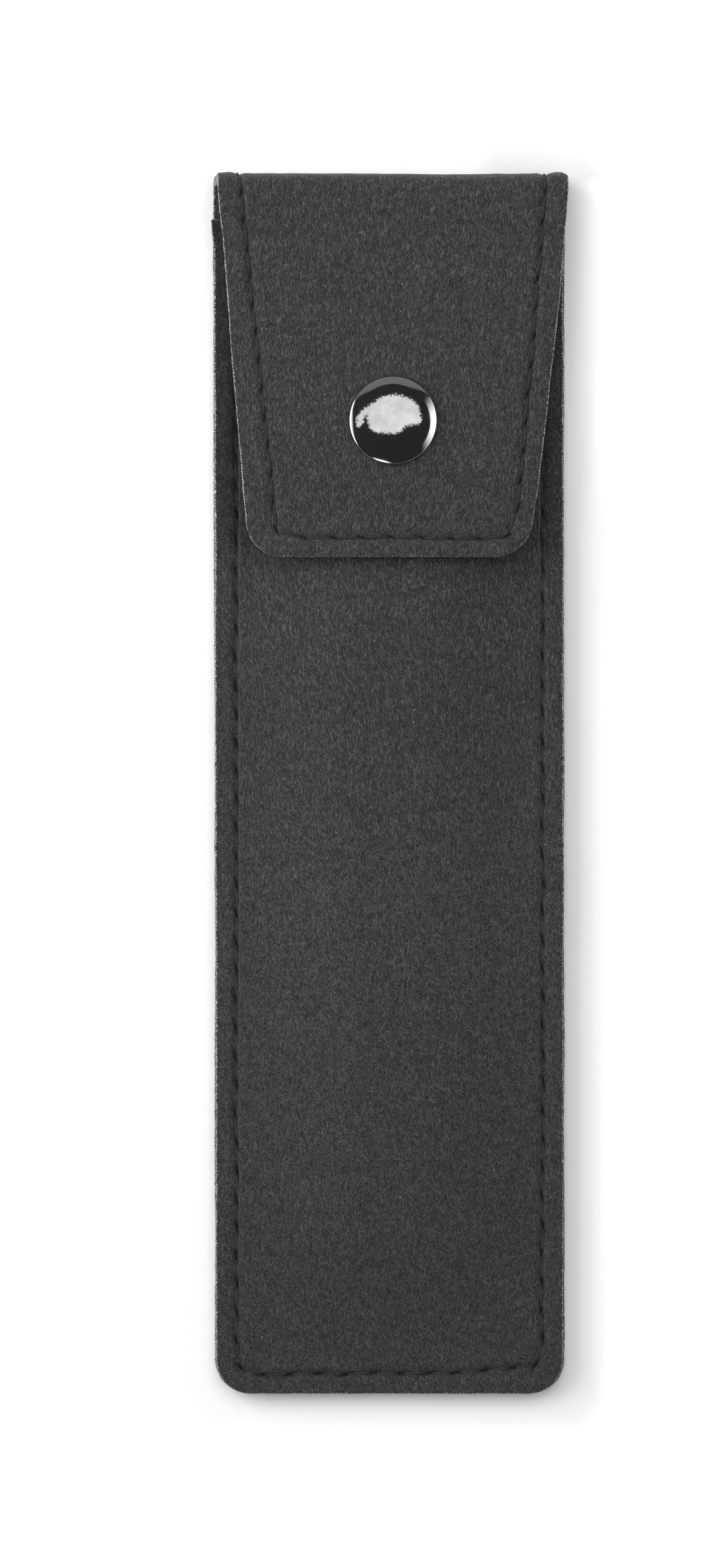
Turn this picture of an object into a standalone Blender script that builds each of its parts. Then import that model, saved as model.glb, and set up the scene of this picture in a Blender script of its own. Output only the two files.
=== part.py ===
"""Felt pencil case: a slim sewn pouch whose back folds over its mouth as a flap, held by a press stud.

The case lies on its back. X is its width, Y its length with the fold at +Y, and Z points out of its front.
The origin is under the middle of the case. Lengths are in metres.
"""

import math

import bmesh
import bpy
from mathutils import Matrix

MM = 0.001

# Felt body
BODY_WIDTH = 50.0 * MM
BODY_LENGTH = 173.9 * MM  # from the bottom edge to the outside of the fold
FELT = 1.6 * MM
BOTTOM_CORNER_RADIUS = 4.0 * MM
POCKET_HEIGHT = 5.0 * MM  # inside, at the middle of the case
POCKET_FLAT_WIDTH = 10.0 * MM  # level part of the front felt's crown
POCKET_END_RISE = 21.0 * MM  # length over which the front felt rises from the bottom seam
SEAM_MARGIN = 4.6 * MM  # strip along the edge where both felts lie flat together
MOUTH_DROP = 6.25 * MM  # from the outside of the fold to the mouth's edge
LAYER_GAP = 0.3 * MM  # between two felts that lie on each other

# Fold and flap
FOLD_INNER_RADIUS = 1.2 * MM
CREASE_SLIT = math.radians(5.0)  # half the angle left open where two stretches of the felt meet
FLAP_REACH = 54.55 * MM  # from the outside of the fold to the flap's edge
FLAP_END_WIDTH = 39.3 * MM  # between the flap's sides, carried down to its edge
FLAP_CORNER_RADIUS = 4.8 * MM

# Sewing
STITCH = 4.1 * MM
THREAD_DIAMETER = 0.36 * MM
THREAD_DIP = 0.22 * MM  # how far a stitch goes down at its holes
GROOVE_RADIUS = 0.48 * MM
GROOVE_SINK = 0.15 * MM  # from the felt's face down to the groove's centre
BACK_GROOVE_SINK = 0.32 * MM  # deeper, where the thread stays inside the face that the case lies on
BODY_SEAM_INSET = 3.1 * MM
FLAP_SEAM_INSET = 3.0 * MM
SEAM_CORNER_RADIUS = 1.8 * MM
THREAD_END_GAP = 0.5 * MM  # from a thread's end to the end of its groove

# Press stud
SNAP_DROP = 35.2 * MM  # from the outside of the fold to the stud's middle
SNAP_SIDE = 0.5 * MM  # the stud sits a little right of the middle
CAP_DIAMETER = 12.6 * MM
CAP_HEIGHT = 2.3 * MM
CAP_WALL = 0.5 * MM
CAP_HEM = 0.45 * MM  # radius of the rolled rim
CAP_SINK = 0.25 * MM  # how far the cap's rim presses into the flap
RIVET_RADIUS = 1.4 * MM
RIVET_WALL = 0.45 * MM
RIVET_LIP = 0.6 * MM  # how far the rivet's end is turned out
RIVET_LIP_HEIGHT = 0.3 * MM
SOCKET_RADIUS = 5.2 * MM
SOCKET_NOSE_RADIUS = 4.3 * MM
SOCKET_HEIGHT = 2.2 * MM
SOCKET_PLATE = 0.4 * MM
SOCKET_LIP = 0.12 * MM
SOCKET_SINK = 0.8 * MM  # how far the socket presses into the flap
SPRING_WIRE = 0.3 * MM
SPRING_REST = 0.18 * MM  # from the socket's lip up to the wire
STUD_RADIUS = 4.8 * MM
STUD_PLATE = 0.4 * MM
STUD_SINK = 0.5 * MM  # how far the stud's plate presses into the front felt
STUD_NECK_RADIUS = 1.5 * MM
STUD_HEAD_RADIUS = 1.9 * MM
STUD_HEAD_HEIGHT = 1.35 * MM
EYELET_RADIUS = 4.5 * MM
EYELET_PLATE = 0.35 * MM
EYELET_SINK = 0.4 * MM
EYELET_TUBE_RADIUS = 0.85 * MM
METAL_GAP = 0.2 * MM  # between metal pieces, and from metal to the felt it presses on
HOLE_GAP = 0.3 * MM  # round a rivet in its hole in the felt
STUD_GAP = 0.25 * MM  # round the stud's head in the socket

# Levels and places that follow from the sizes
HALF_WIDTH = BODY_WIDTH / 2
FOLD_Y = BODY_LENGTH / 2
BOTTOM_Y = -BODY_LENGTH / 2
MOUTH_Y = FOLD_Y - MOUTH_DROP
FLAP_END_Y = FOLD_Y - FLAP_REACH
SNAP_Y = FOLD_Y - SNAP_DROP
FOLD_OUTER_RADIUS = FOLD_INNER_RADIUS + FELT
FRONT_UNDER_Z = FELT + POCKET_HEIGHT
FRONT_TOP_Z = FRONT_UNDER_Z + FELT
SEAM_TOP_Z = FELT + LAYER_GAP + FELT
STUD_PLATE_Z = FRONT_TOP_Z - STUD_SINK + METAL_GAP
SOCKET_Z = STUD_PLATE_Z + STUD_PLATE + METAL_GAP
SOCKET_TOP_Z = SOCKET_Z + SOCKET_HEIGHT
FLAP_UNDER_Z = SOCKET_TOP_Z + METAL_GAP - SOCKET_SINK
FLAP_TOP_Z = FLAP_UNDER_Z + FELT
CAP_RIM_Z = FLAP_TOP_Z - CAP_SINK + METAL_GAP
BEND_Y = FOLD_Y - FOLD_OUTER_RADIUS
BACK_BEND_Z = FOLD_OUTER_RADIUS
FRONT_BEND_Z = FLAP_TOP_Z - FOLD_OUTER_RADIUS
CREASE_OUT = FOLD_OUTER_RADIUS * math.sin(math.radians(45.0))
BACK_CREASE = (0.0, BEND_Y + CREASE_OUT, BACK_BEND_Z - CREASE_OUT)
FRONT_CREASE = (0.0, BEND_Y + CREASE_OUT, FRONT_BEND_Z + CREASE_OUT)

# Fineness of the round shapes
BEND_STEPS = 5
CORNER_STEPS = 6
TURN_STEPS = 32
DOME_STEPS = 7
PLAN_MARGIN = 1.0 * MM  # how far a cutting shape stands out past what it cuts


def clear_scene():
    for item in list(bpy.data.objects):
        bpy.data.objects.remove(item, do_unlink=True)


def new_collection(name):
    group = bpy.data.collections.new(name)
    bpy.context.scene.collection.children.link(group)
    return group


def new_material(name, colour, roughness, metallic=0.0):
    material = bpy.data.materials.new(name)
    material.use_nodes = True
    shader = material.node_tree.nodes["Principled BSDF"]
    shader.inputs["Base Color"].default_value = (*colour, 1.0)
    shader.inputs["Roughness"].default_value = roughness
    shader.inputs["Metallic"].default_value = metallic
    material.diffuse_color = (*colour, 1.0)
    return material


def add_mesh(name, mesh, group, material=None):
    item = bpy.data.objects.new(name, mesh)
    group.objects.link(item)
    if material is not None:
        mesh.materials.clear()
        mesh.materials.append(material)
    return item


def as_mesh(curve_item, name, group, material=None):
    """Turn a curve into a closed mesh in place, with its caps welded on."""
    bpy.context.view_layer.update()
    graph = bpy.context.evaluated_depsgraph_get()
    mesh = bpy.data.meshes.new_from_object(curve_item.evaluated_get(graph))
    shape = bmesh.new()
    shape.from_mesh(mesh)
    bmesh.ops.remove_doubles(shape, verts=shape.verts, dist=0.001 * MM)
    bmesh.ops.recalc_face_normals(shape, faces=shape.faces)
    shape.to_mesh(mesh)
    shape.free()
    mesh.name = name
    item = add_mesh(name, mesh, group, material)
    item.matrix_world = curve_item.matrix_world.copy()
    bpy.data.objects.remove(curve_item, do_unlink=True)
    return item


def hide_cutter(item):
    item.hide_render = True
    item.display_type = "WIRE"
    return item


def arc(centre, radius, start, end, steps):
    """Points on an arc, from one angle to the other."""
    turn = (end - start) / steps
    return [
        (
            centre[0] + radius * math.cos(start + turn * i),
            centre[1] + radius * math.sin(start + turn * i),
        )
        for i in range(steps + 1)
    ]


def rounded(corners, steps=CORNER_STEPS, closed=True):
    """An outline through corners (x, y, radius), each replaced by an arc of its radius."""
    points = []
    count = len(corners)
    for i, (x, y, radius) in enumerate(corners):
        at_end = not closed and i in (0, count - 1)
        if radius <= 0 or at_end:
            points.append((x, y))
            continue
        before = corners[i - 1]
        after = corners[(i + 1) % count]
        way_in = math.atan2(before[1] - y, before[0] - x)
        way_out = math.atan2(after[1] - y, after[0] - x)
        opening = (way_out - way_in + math.pi) % (2 * math.pi) - math.pi
        middle = way_in + opening / 2
        half = abs(opening) / 2
        reach = radius / math.sin(half)
        centre = (x + reach * math.cos(middle), y + reach * math.sin(middle))
        sweep = math.copysign(math.pi / 2 - half, opening)
        facing = middle + math.pi
        points += arc(centre, radius, facing + sweep, facing - sweep, steps)
    return points


def extruded(name, outline, depth, group, matrix, material=None):
    """A solid of a flat outline, drawn in the matrix's own XY plane with half the depth on each side."""
    curve = bpy.data.curves.new(name, "CURVE")
    curve.dimensions = "2D"
    curve.fill_mode = "BOTH"
    curve.extrude = depth / 2
    spline = curve.splines.new("POLY")
    spline.points.add(len(outline) - 1)
    for point, (x, y) in zip(spline.points, outline):
        point.co = (x, y, 0.0, 1.0)
    spline.use_cyclic_u = True
    drawn = bpy.data.objects.new(name + "_outline", curve)
    bpy.context.scene.collection.objects.link(drawn)
    drawn.matrix_world = matrix
    return as_mesh(drawn, name, group, material)


def across(name, profile, width, group, material):
    """A solid whose side view is the profile, in (y, z), and which runs across the case's width."""
    side_view = Matrix(((0, 0, 1, 0), (1, 0, 0, 0), (0, 1, 0, 0), (0, 0, 0, 1)))
    return extruded(name, profile, width, group, side_view, material)


def upright(name, outline, low, high, group):
    """A cutting shape whose plan is the outline, in (x, y)."""
    place = Matrix.Translation((0, 0, (low + high) / 2))
    return hide_cutter(extruded(name, outline, high - low, group, place))


def disc_cutter(name, radius, low, high, group):
    """A round cutting shape on the press stud's axis."""
    shape = bmesh.new()
    bmesh.ops.create_cone(
        shape,
        cap_ends=True,
        segments=TURN_STEPS,
        radius1=radius,
        radius2=radius,
        depth=high - low,
    )
    mesh = bpy.data.meshes.new(name)
    shape.to_mesh(mesh)
    shape.free()
    item = add_mesh(name, mesh, group)
    item.location = (SNAP_SIDE, SNAP_Y, (low + high) / 2)
    return hide_cutter(item)


def boolean(item, cutter, operation="DIFFERENCE"):
    step = item.modifiers.new(cutter.name, "BOOLEAN")
    step.object = cutter
    step.operation = operation
    step.solver = "EXACT"


def tube(name, points, radius, group, resolution, material=None):
    """A tube along 3D points, with filled ends."""
    curve = bpy.data.curves.new(name, "CURVE")
    curve.dimensions = "3D"
    curve.bevel_depth = radius
    curve.bevel_resolution = resolution
    curve.use_fill_caps = True
    spline = curve.splines.new("POLY")
    spline.points.add(len(points) - 1)
    for point, place in zip(spline.points, points):
        point.co = (*place, 1.0)
    drawn = bpy.data.objects.new(name + "_line", curve)
    bpy.context.scene.collection.objects.link(drawn)
    item = as_mesh(drawn, name, group, material)
    item.data.shade_smooth()
    return item


def turned(name, profile, group, material, closed=False):
    """A piece turned on the press stud's axis, from a profile in (radius, z)."""
    shape = bmesh.new()
    ring = [shape.verts.new((radius, 0.0, z)) for radius, z in profile]
    for a, b in zip(ring, ring[1:]):
        shape.edges.new((a, b))
    if closed:
        shape.edges.new((ring[-1], ring[0]))
    mesh = bpy.data.meshes.new(name)
    shape.to_mesh(mesh)
    shape.free()
    item = add_mesh(name, mesh, group, material)
    item.location = (SNAP_SIDE, SNAP_Y, 0.0)
    step = item.modifiers.new("turn", "SCREW")
    step.steps = TURN_STEPS
    step.render_steps = TURN_STEPS
    step.use_merge_vertices = True
    step.merge_threshold = 0.001 * MM
    step.use_smooth_shade = True
    return item


def ease(value):
    """0 to 1 in a smooth rise."""
    value = min(max(value, 0.0), 1.0)
    return (1 - math.cos(math.pi * value)) / 2


def puff(x, y):
    """How far the front felt stands above its flat seam, under it."""
    seam_x = HALF_WIDTH - SEAM_MARGIN
    crown_x = POCKET_FLAT_WIDTH / 2
    seam_y = BOTTOM_Y + SEAM_MARGIN
    sideways = ease((seam_x - abs(x)) / (seam_x - crown_x))
    lengthways = ease((y - seam_y) / POCKET_END_RISE)
    return (POCKET_HEIGHT - LAYER_GAP) * sideways * lengthways


def back_profile():
    lower = -math.pi / 2
    stop = -math.pi / 4 - CREASE_SLIT
    centre = (BEND_Y, BACK_BEND_Z)
    outer = arc(centre, FOLD_OUTER_RADIUS, lower, stop, BEND_STEPS)
    inner = arc(centre, FOLD_INNER_RADIUS, stop, lower, BEND_STEPS)
    start = BOTTOM_Y - PLAN_MARGIN
    return [(start, 0.0)] + outer + inner + [(start, FELT)]


def strip_profile():
    low = -math.pi / 4 + CREASE_SLIT
    high = math.pi / 4 - CREASE_SLIT
    back = (BEND_Y, BACK_BEND_Z)
    front = (BEND_Y, FRONT_BEND_Z)
    outer = arc(back, FOLD_OUTER_RADIUS, low, 0.0, BEND_STEPS)
    outer += arc(front, FOLD_OUTER_RADIUS, 0.0, high, BEND_STEPS)
    inner = arc(front, FOLD_INNER_RADIUS, high, 0.0, BEND_STEPS)
    inner += arc(back, FOLD_INNER_RADIUS, 0.0, low, BEND_STEPS)
    return outer + inner


def flap_profile():
    start = math.pi / 4 + CREASE_SLIT
    upper = math.pi / 2
    centre = (BEND_Y, FRONT_BEND_Z)
    outer = arc(centre, FOLD_OUTER_RADIUS, start, upper, BEND_STEPS)
    inner = arc(centre, FOLD_INNER_RADIUS, upper, start, BEND_STEPS)
    end = FLAP_END_Y - PLAN_MARGIN
    return outer + [(end, FLAP_TOP_Z), (end, FLAP_UNDER_Z)] + inner


def body_plan(top_y):
    """The sewn pouch's outline, up to a given height."""
    return rounded(
        [
            (HALF_WIDTH, top_y, 0.0),
            (-HALF_WIDTH, top_y, 0.0),
            (-HALF_WIDTH, BOTTOM_Y, BOTTOM_CORNER_RADIUS),
            (HALF_WIDTH, BOTTOM_Y, BOTTOM_CORNER_RADIUS),
        ]
    )


def flap_plan():
    end = FLAP_END_WIDTH / 2
    over = FOLD_Y + PLAN_MARGIN
    return rounded(
        [
            (HALF_WIDTH, over, 0.0),
            (-HALF_WIDTH, over, 0.0),
            (-HALF_WIDTH, BEND_Y, 0.0),
            (-end, FLAP_END_Y, FLAP_CORNER_RADIUS),
            (end, FLAP_END_Y, FLAP_CORNER_RADIUS),
            (HALF_WIDTH, BEND_Y, 0.0),
        ]
    )


def body_seam(top_y):
    """The seam's line on the pouch: down one side, along the bottom and up the other side."""
    side = HALF_WIDTH - BODY_SEAM_INSET
    low = BOTTOM_Y + BODY_SEAM_INSET
    radius = SEAM_CORNER_RADIUS
    return rounded(
        [(-side, top_y, 0), (-side, low, radius), (side, low, radius), (side, top_y, 0)],
        closed=False,
    )


def flap_seam(top_y):
    """The topstitching's line on the flap, an even step in from its sides and its edge."""
    run = BEND_Y - FLAP_END_Y
    lean = (HALF_WIDTH - FLAP_END_WIDTH / 2) / run
    step_in = FLAP_SEAM_INSET * math.hypot(1.0, lean)
    low = FLAP_END_Y + FLAP_SEAM_INSET
    low_x = FLAP_END_WIDTH / 2 + lean * (low - FLAP_END_Y) - step_in
    top_x = FLAP_END_WIDTH / 2 + lean * (top_y - FLAP_END_Y) - step_in
    radius = SEAM_CORNER_RADIUS
    return rounded(
        [(-top_x, top_y, 0), (-low_x, low, radius), (low_x, low, radius), (top_x, top_y, 0)],
        closed=False,
    )


def along(line, spacing, trim):
    """The line's points and its bends, as (x, y, stitches so far), cut short by the trim at both ends."""
    lengths = [math.dist(a, b) for a, b in zip(line, line[1:])]
    run = sum(lengths) - 2 * trim
    count = 2 * round(run / spacing / 2)
    step = run / count
    even = [trim + step * i for i in range(count + 1)]
    bends = [sum(lengths[:i]) for i in range(1, len(lengths))]
    loose = [bend for bend in bends if min(abs(bend - place) for place in even) > step / 8]
    points = []
    passed = 0.0
    piece = 0
    for place in sorted(even + loose):
        while piece < len(lengths) - 1 and passed + lengths[piece] < place:
            passed += lengths[piece]
            piece += 1
        share = (place - passed) / lengths[piece]
        a = line[piece]
        b = line[piece + 1]
        x = a[0] + share * (b[0] - a[0])
        y = a[1] + share * (b[1] - a[1])
        points.append((x, y, (place - trim) / (2 * step)))
    return points


def cut_groove(felt, name, line, face_z, inward, sink, cutters):
    """Sink a seam into a face of the felt. inward is the way into the felt, 1 for up and -1 for down."""
    points = [(x, y, face_z + inward * sink) for x, y in line]
    groove = tube(name, points, GROOVE_RADIUS, cutters, 2)
    boolean(felt, hide_cutter(groove))


def lay_thread(name, line, face_z, inward, crest, parts, material):
    """A thread in its groove, down at each hole and up to the crest's depth between two holes."""
    points = []
    for x, y, stitches in along(line, STITCH / 2, THREAD_END_GAP):
        dip = THREAD_DIP * (1 + math.cos(2 * math.pi * stitches)) / 2
        points.append((x, y, face_z + inward * (crest + dip)))
    return tube(name, points, THREAD_DIAMETER / 2, parts, 1, material)


def make_back_panel(parts, cutters, felt):
    panel = across("back_panel", back_profile(), BODY_WIDTH, parts, felt)
    top = FOLD_Y + PLAN_MARGIN
    plan = upright("back_plan", body_plan(top), -FELT, BACK_BEND_Z + FELT, cutters)
    boolean(panel, plan, "INTERSECT")
    return panel


def make_fold_strip(parts, felt):
    return across("fold_strip", strip_profile(), BODY_WIDTH, parts, felt)


def make_flap(parts, cutters, felt):
    panel = across("flap", flap_profile(), BODY_WIDTH, parts, felt)
    plan = upright("flap_plan", flap_plan(), FRONT_BEND_Z, FLAP_TOP_Z + FELT, cutters)
    boolean(panel, plan, "INTERSECT")
    over = FLAP_TOP_Z + FELT
    under = FLAP_UNDER_Z - FELT
    hole = RIVET_RADIUS + HOLE_GAP
    boolean(panel, disc_cutter("cap_hole", hole, under, over, cutters))
    cap_seat = CAP_DIAMETER / 2 + METAL_GAP
    boolean(panel, disc_cutter("cap_seat", cap_seat, FLAP_TOP_Z - CAP_SINK, over, cutters))
    socket_seat = SOCKET_RADIUS + METAL_GAP
    ceiling = FLAP_UNDER_Z + SOCKET_SINK
    boolean(panel, disc_cutter("socket_seat", socket_seat, under, ceiling, cutters))
    return panel


def make_front_panel(parts, cutters, felt):
    """The front felt: a sheet that lies flat along its seam and crowns over the pocket."""
    columns = 20
    rows = 20
    half = HALF_WIDTH + PLAN_MARGIN
    low = BOTTOM_Y - PLAN_MARGIN
    crest = BOTTOM_Y + SEAM_MARGIN + POCKET_END_RISE
    high = MOUTH_Y + PLAN_MARGIN
    shape = bmesh.new()
    bmesh.ops.create_grid(shape, x_segments=columns, y_segments=rows, size=1.0)
    lower_share = 0.6  # of the rows, which are closer together where the felt rises
    for vert in shape.verts:
        x = vert.co.x * half
        share = (vert.co.y + 1) / 2
        if share < lower_share:
            y = low + (crest - low) * share / lower_share
        else:
            y = crest + (high - crest) * (share - lower_share) / (1 - lower_share)
        vert.co = (x, y, FELT + LAYER_GAP + puff(x, y))
    mesh = bpy.data.meshes.new("front_panel")
    shape.to_mesh(mesh)
    shape.free()
    panel = add_mesh("front_panel", mesh, parts, felt)
    thicken = panel.modifiers.new("thickness", "SOLIDIFY")
    thicken.thickness = FELT
    thicken.offset = 1.0
    thicken.use_even_offset = True
    plan = upright("front_plan", body_plan(MOUTH_Y), -FELT, FLAP_TOP_Z, cutters)
    boolean(panel, plan, "INTERSECT")
    over = FRONT_TOP_Z + FELT
    under = FRONT_UNDER_Z - FELT
    hole = EYELET_TUBE_RADIUS + HOLE_GAP
    boolean(panel, disc_cutter("eyelet_hole", hole, under, over, cutters))
    stud_seat = STUD_RADIUS + METAL_GAP
    boolean(panel, disc_cutter("stud_seat", stud_seat, FRONT_TOP_Z - STUD_SINK, over, cutters))
    eyelet_seat = EYELET_RADIUS + METAL_GAP
    ceiling = FRONT_UNDER_Z + EYELET_SINK
    boolean(panel, disc_cutter("eyelet_seat", eyelet_seat, under, ceiling, cutters))
    return panel


def make_cap(parts, metal):
    """A pressed dome with a hemmed rim, and the rivet tube that is turned out inside the socket."""
    rim = CAP_DIAMETER / 2
    hem_x = rim - CAP_HEM
    hem_rise = CAP_HEIGHT - CAP_HEM
    ball = (hem_x**2 + hem_rise**2 - CAP_HEM**2) / (2 * (hem_rise - CAP_HEM))
    ball_z = CAP_HEIGHT - ball
    tangent = math.atan2(CAP_HEM - ball_z, hem_x)
    inner = math.acos((hem_x - CAP_HEM) / (ball - CAP_WALL))
    root = math.acos((RIVET_RADIUS + CAP_WALL) / (ball - CAP_WALL))
    dome = arc((0.0, ball_z), ball, math.pi / 2, tangent, DOME_STEPS)
    hem = arc((hem_x, CAP_HEM), CAP_HEM, tangent, math.radians(-120), DOME_STEPS)[1:]
    under = arc((0.0, ball_z), ball - CAP_WALL, inner, root, DOME_STEPS)
    ceiling = under[-1][1]
    flare_top = SOCKET_TOP_Z - SOCKET_PLATE - METAL_GAP - CAP_RIM_Z
    flare_low = flare_top - RIVET_LIP_HEIGHT
    bore = RIVET_RADIUS - RIVET_WALL
    rivet = [
        (RIVET_RADIUS, ceiling),
        (RIVET_RADIUS, flare_top),
        (RIVET_RADIUS + RIVET_LIP, flare_top),
        (RIVET_RADIUS + RIVET_LIP, flare_low),
        (bore + RIVET_WALL / 2, flare_low),
        (bore, flare_low + RIVET_LIP_HEIGHT),
        (bore, ceiling - CAP_WALL),
        (0.0, ceiling - CAP_WALL),
    ]
    profile = [(x, z + CAP_RIM_Z) for x, z in dome + hem + under + rivet]
    return turned("snap_cap", profile, parts, metal)


def make_socket(parts, metal):
    """A ring with a plate that the rivet holds, and a channel in which the spring's arms lie."""
    mouth = STUD_HEAD_RADIUS + STUD_GAP
    lip_z = SOCKET_Z + SOCKET_LIP
    channel = STUD_HEAD_RADIUS + STUD_GAP + SPRING_WIRE + 3 * METAL_GAP
    channel_top = lip_z + 2 * SPRING_REST + SPRING_WIRE
    chamber = RIVET_RADIUS + RIVET_LIP + METAL_GAP
    plate_z = SOCKET_TOP_Z - SOCKET_PLATE
    bevel = 0.3 * MM
    profile = [
        (RIVET_RADIUS + METAL_GAP, SOCKET_TOP_Z),
        (SOCKET_RADIUS - bevel, SOCKET_TOP_Z),
        (SOCKET_RADIUS, SOCKET_TOP_Z - bevel),
        (SOCKET_RADIUS, plate_z - bevel),
        (SOCKET_RADIUS - bevel, plate_z - 2 * bevel),
        (SOCKET_NOSE_RADIUS, plate_z - 2 * bevel),
        (SOCKET_NOSE_RADIUS, SOCKET_Z + bevel),
        (SOCKET_NOSE_RADIUS - bevel, SOCKET_Z),
        (mouth, SOCKET_Z),
        (mouth, lip_z),
        (channel, lip_z),
        (channel, channel_top),
        (chamber, channel_top),
        (chamber, plate_z),
        (RIVET_RADIUS + METAL_GAP, plate_z),
    ]
    return turned("snap_socket", profile, parts, metal, closed=True)


def make_spring(name, side, parts, metal):
    """One straight arm of the socket's wire spring, beside the stud's head."""
    offset = STUD_HEAD_RADIUS + STUD_GAP + SPRING_WIRE / 2
    channel = STUD_HEAD_RADIUS + STUD_GAP + SPRING_WIRE + 3 * METAL_GAP
    half = math.sqrt((channel - METAL_GAP) ** 2 - (offset + SPRING_WIRE / 2) ** 2)
    height = SOCKET_Z + SOCKET_LIP + SPRING_REST + SPRING_WIRE / 2
    x = SNAP_SIDE + side * offset
    points = [(x, SNAP_Y - half, height), (x, SNAP_Y, height), (x, SNAP_Y + half, height)]
    return tube(name, points, SPRING_WIRE / 2, parts, 2, metal)


def make_stud(parts, metal):
    """The male half: a plate with a waisted post, bored from below for the eyelet's tube."""
    plate_top = STUD_PLATE_Z + STUD_PLATE
    head_top = plate_top + STUD_HEAD_HEIGHT
    bore = EYELET_TUBE_RADIUS + METAL_GAP
    wall = 0.3 * MM
    edge = 0.15 * MM
    profile = [
        (0.0, head_top),
        (STUD_HEAD_RADIUS * 0.45, head_top - 0.03 * MM),
        (STUD_HEAD_RADIUS * 0.8, head_top - 0.2 * MM),
        (STUD_HEAD_RADIUS, head_top - 0.5 * MM),
        (STUD_HEAD_RADIUS * 0.96, head_top - 0.7 * MM),
        (STUD_NECK_RADIUS, plate_top + 0.35 * MM),
        (STUD_NECK_RADIUS, plate_top),
        (STUD_RADIUS - edge, plate_top),
        (STUD_RADIUS, plate_top - edge),
        (STUD_RADIUS, STUD_PLATE_Z),
        (bore, STUD_PLATE_Z),
        (bore, head_top - wall),
        (0.0, head_top - wall),
    ]
    return turned("snap_stud", profile, parts, metal)


def make_eyelet(parts, metal):
    """A flat flange inside the pocket, and a tube that goes up through the felt into the stud."""
    flange_top = FRONT_UNDER_Z + EYELET_SINK - METAL_GAP
    flange_low = flange_top - EYELET_PLATE
    tube_top = STUD_PLATE_Z + STUD_PLATE + STUD_HEAD_HEIGHT - 0.3 * MM - METAL_GAP
    bore = EYELET_TUBE_RADIUS / 2
    edge = 0.12 * MM
    profile = [
        (bore, tube_top),
        (EYELET_TUBE_RADIUS - edge, tube_top),
        (EYELET_TUBE_RADIUS, tube_top - edge),
        (EYELET_TUBE_RADIUS, flange_top),
        (EYELET_RADIUS, flange_top),
        (EYELET_RADIUS, flange_low + edge),
        (EYELET_RADIUS - edge, flange_low),
        (bore, flange_low),
    ]
    return turned("stud_eyelet", profile, parts, metal, closed=True)


def axis_empty(name, place, group, parent=None):
    empty = bpy.data.objects.new(name, None)
    empty.empty_display_size = 10 * MM
    group.objects.link(empty)
    if parent is not None:
        empty.parent = parent
        place = [a - b for a, b in zip(place, parent.location)]
    empty.location = place
    return empty


def hang_on(parent, place, items):
    """Parent pieces to the empty on their joint's axis, and leave them where they are."""
    for item in items:
        item.parent = parent
        item.matrix_parent_inverse = Matrix.Translation(place).inverted()


def main():
    clear_scene()
    parts = new_collection("felt_pencil_case")
    cutters = new_collection("cutters")
    back_felt = new_material("back_felt", (0.040, 0.041, 0.044), 0.95)
    front_felt = new_material("front_felt", (0.045, 0.046, 0.048), 0.95)
    strip_felt = new_material("strip_felt", (0.038, 0.039, 0.042), 0.95)
    flap_felt = new_material("flap_felt", (0.048, 0.049, 0.051), 0.95)
    thread = new_material("thread", (0.022, 0.023, 0.026), 0.8)
    lacquer = new_material("black_lacquered_steel", (0.016, 0.016, 0.018), 0.12, 0.0)
    nickel = new_material("nickel", (0.60, 0.58, 0.55), 0.25, 1.0)
    spring_steel = new_material("spring_steel", (0.45, 0.45, 0.46), 0.35, 1.0)

    back_panel = make_back_panel(parts, cutters, back_felt)
    front_panel = make_front_panel(parts, cutters, front_felt)
    strip = make_fold_strip(parts, strip_felt)
    flap = make_flap(parts, cutters, flap_felt)

    sunk_crest = THREAD_DIAMETER / 2 + 0.02 * MM  # keeps a stitch from standing proud of the felt
    over_mouth = body_seam(MOUTH_Y + PLAN_MARGIN)
    on_case = body_seam(BEND_Y)
    on_flap = flap_seam(BEND_Y)
    cut_groove(front_panel, "front_groove", over_mouth, SEAM_TOP_Z, -1, GROOVE_SINK, cutters)
    lay_thread("seam_thread_front", body_seam(MOUTH_Y), SEAM_TOP_Z, -1, 0.0, parts, thread)
    cut_groove(back_panel, "back_groove", on_case, 0.0, 1, BACK_GROOVE_SINK, cutters)
    lay_thread("seam_thread_back", on_case, 0.0, 1, sunk_crest, parts, thread)
    cut_groove(flap, "flap_outer_groove", on_flap, FLAP_TOP_Z, -1, GROOVE_SINK, cutters)
    outer = lay_thread("flap_thread_outer", on_flap, FLAP_TOP_Z, -1, 0.0, parts, thread)
    cut_groove(flap, "flap_inner_groove", on_flap, FLAP_UNDER_Z, 1, GROOVE_SINK, cutters)
    inner = lay_thread("flap_thread_inner", on_flap, FLAP_UNDER_Z, 1, 0.0, parts, thread)

    cap = make_cap(parts, lacquer)
    socket = make_socket(parts, nickel)
    left_spring = make_spring("socket_spring_left", -1, parts, spring_steel)
    right_spring = make_spring("socket_spring_right", 1, parts, spring_steel)
    make_stud(parts, nickel)
    make_eyelet(parts, nickel)

    back_axis = axis_empty("back_crease_axis", BACK_CREASE, parts)
    front_axis = axis_empty("front_crease_axis", FRONT_CREASE, parts, back_axis)
    hang_on(back_axis, BACK_CREASE, [strip])
    swinging = [flap, outer, inner, cap, socket, left_spring, right_spring]
    hang_on(front_axis, FRONT_CREASE, swinging)


main()
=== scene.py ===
import math

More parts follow.
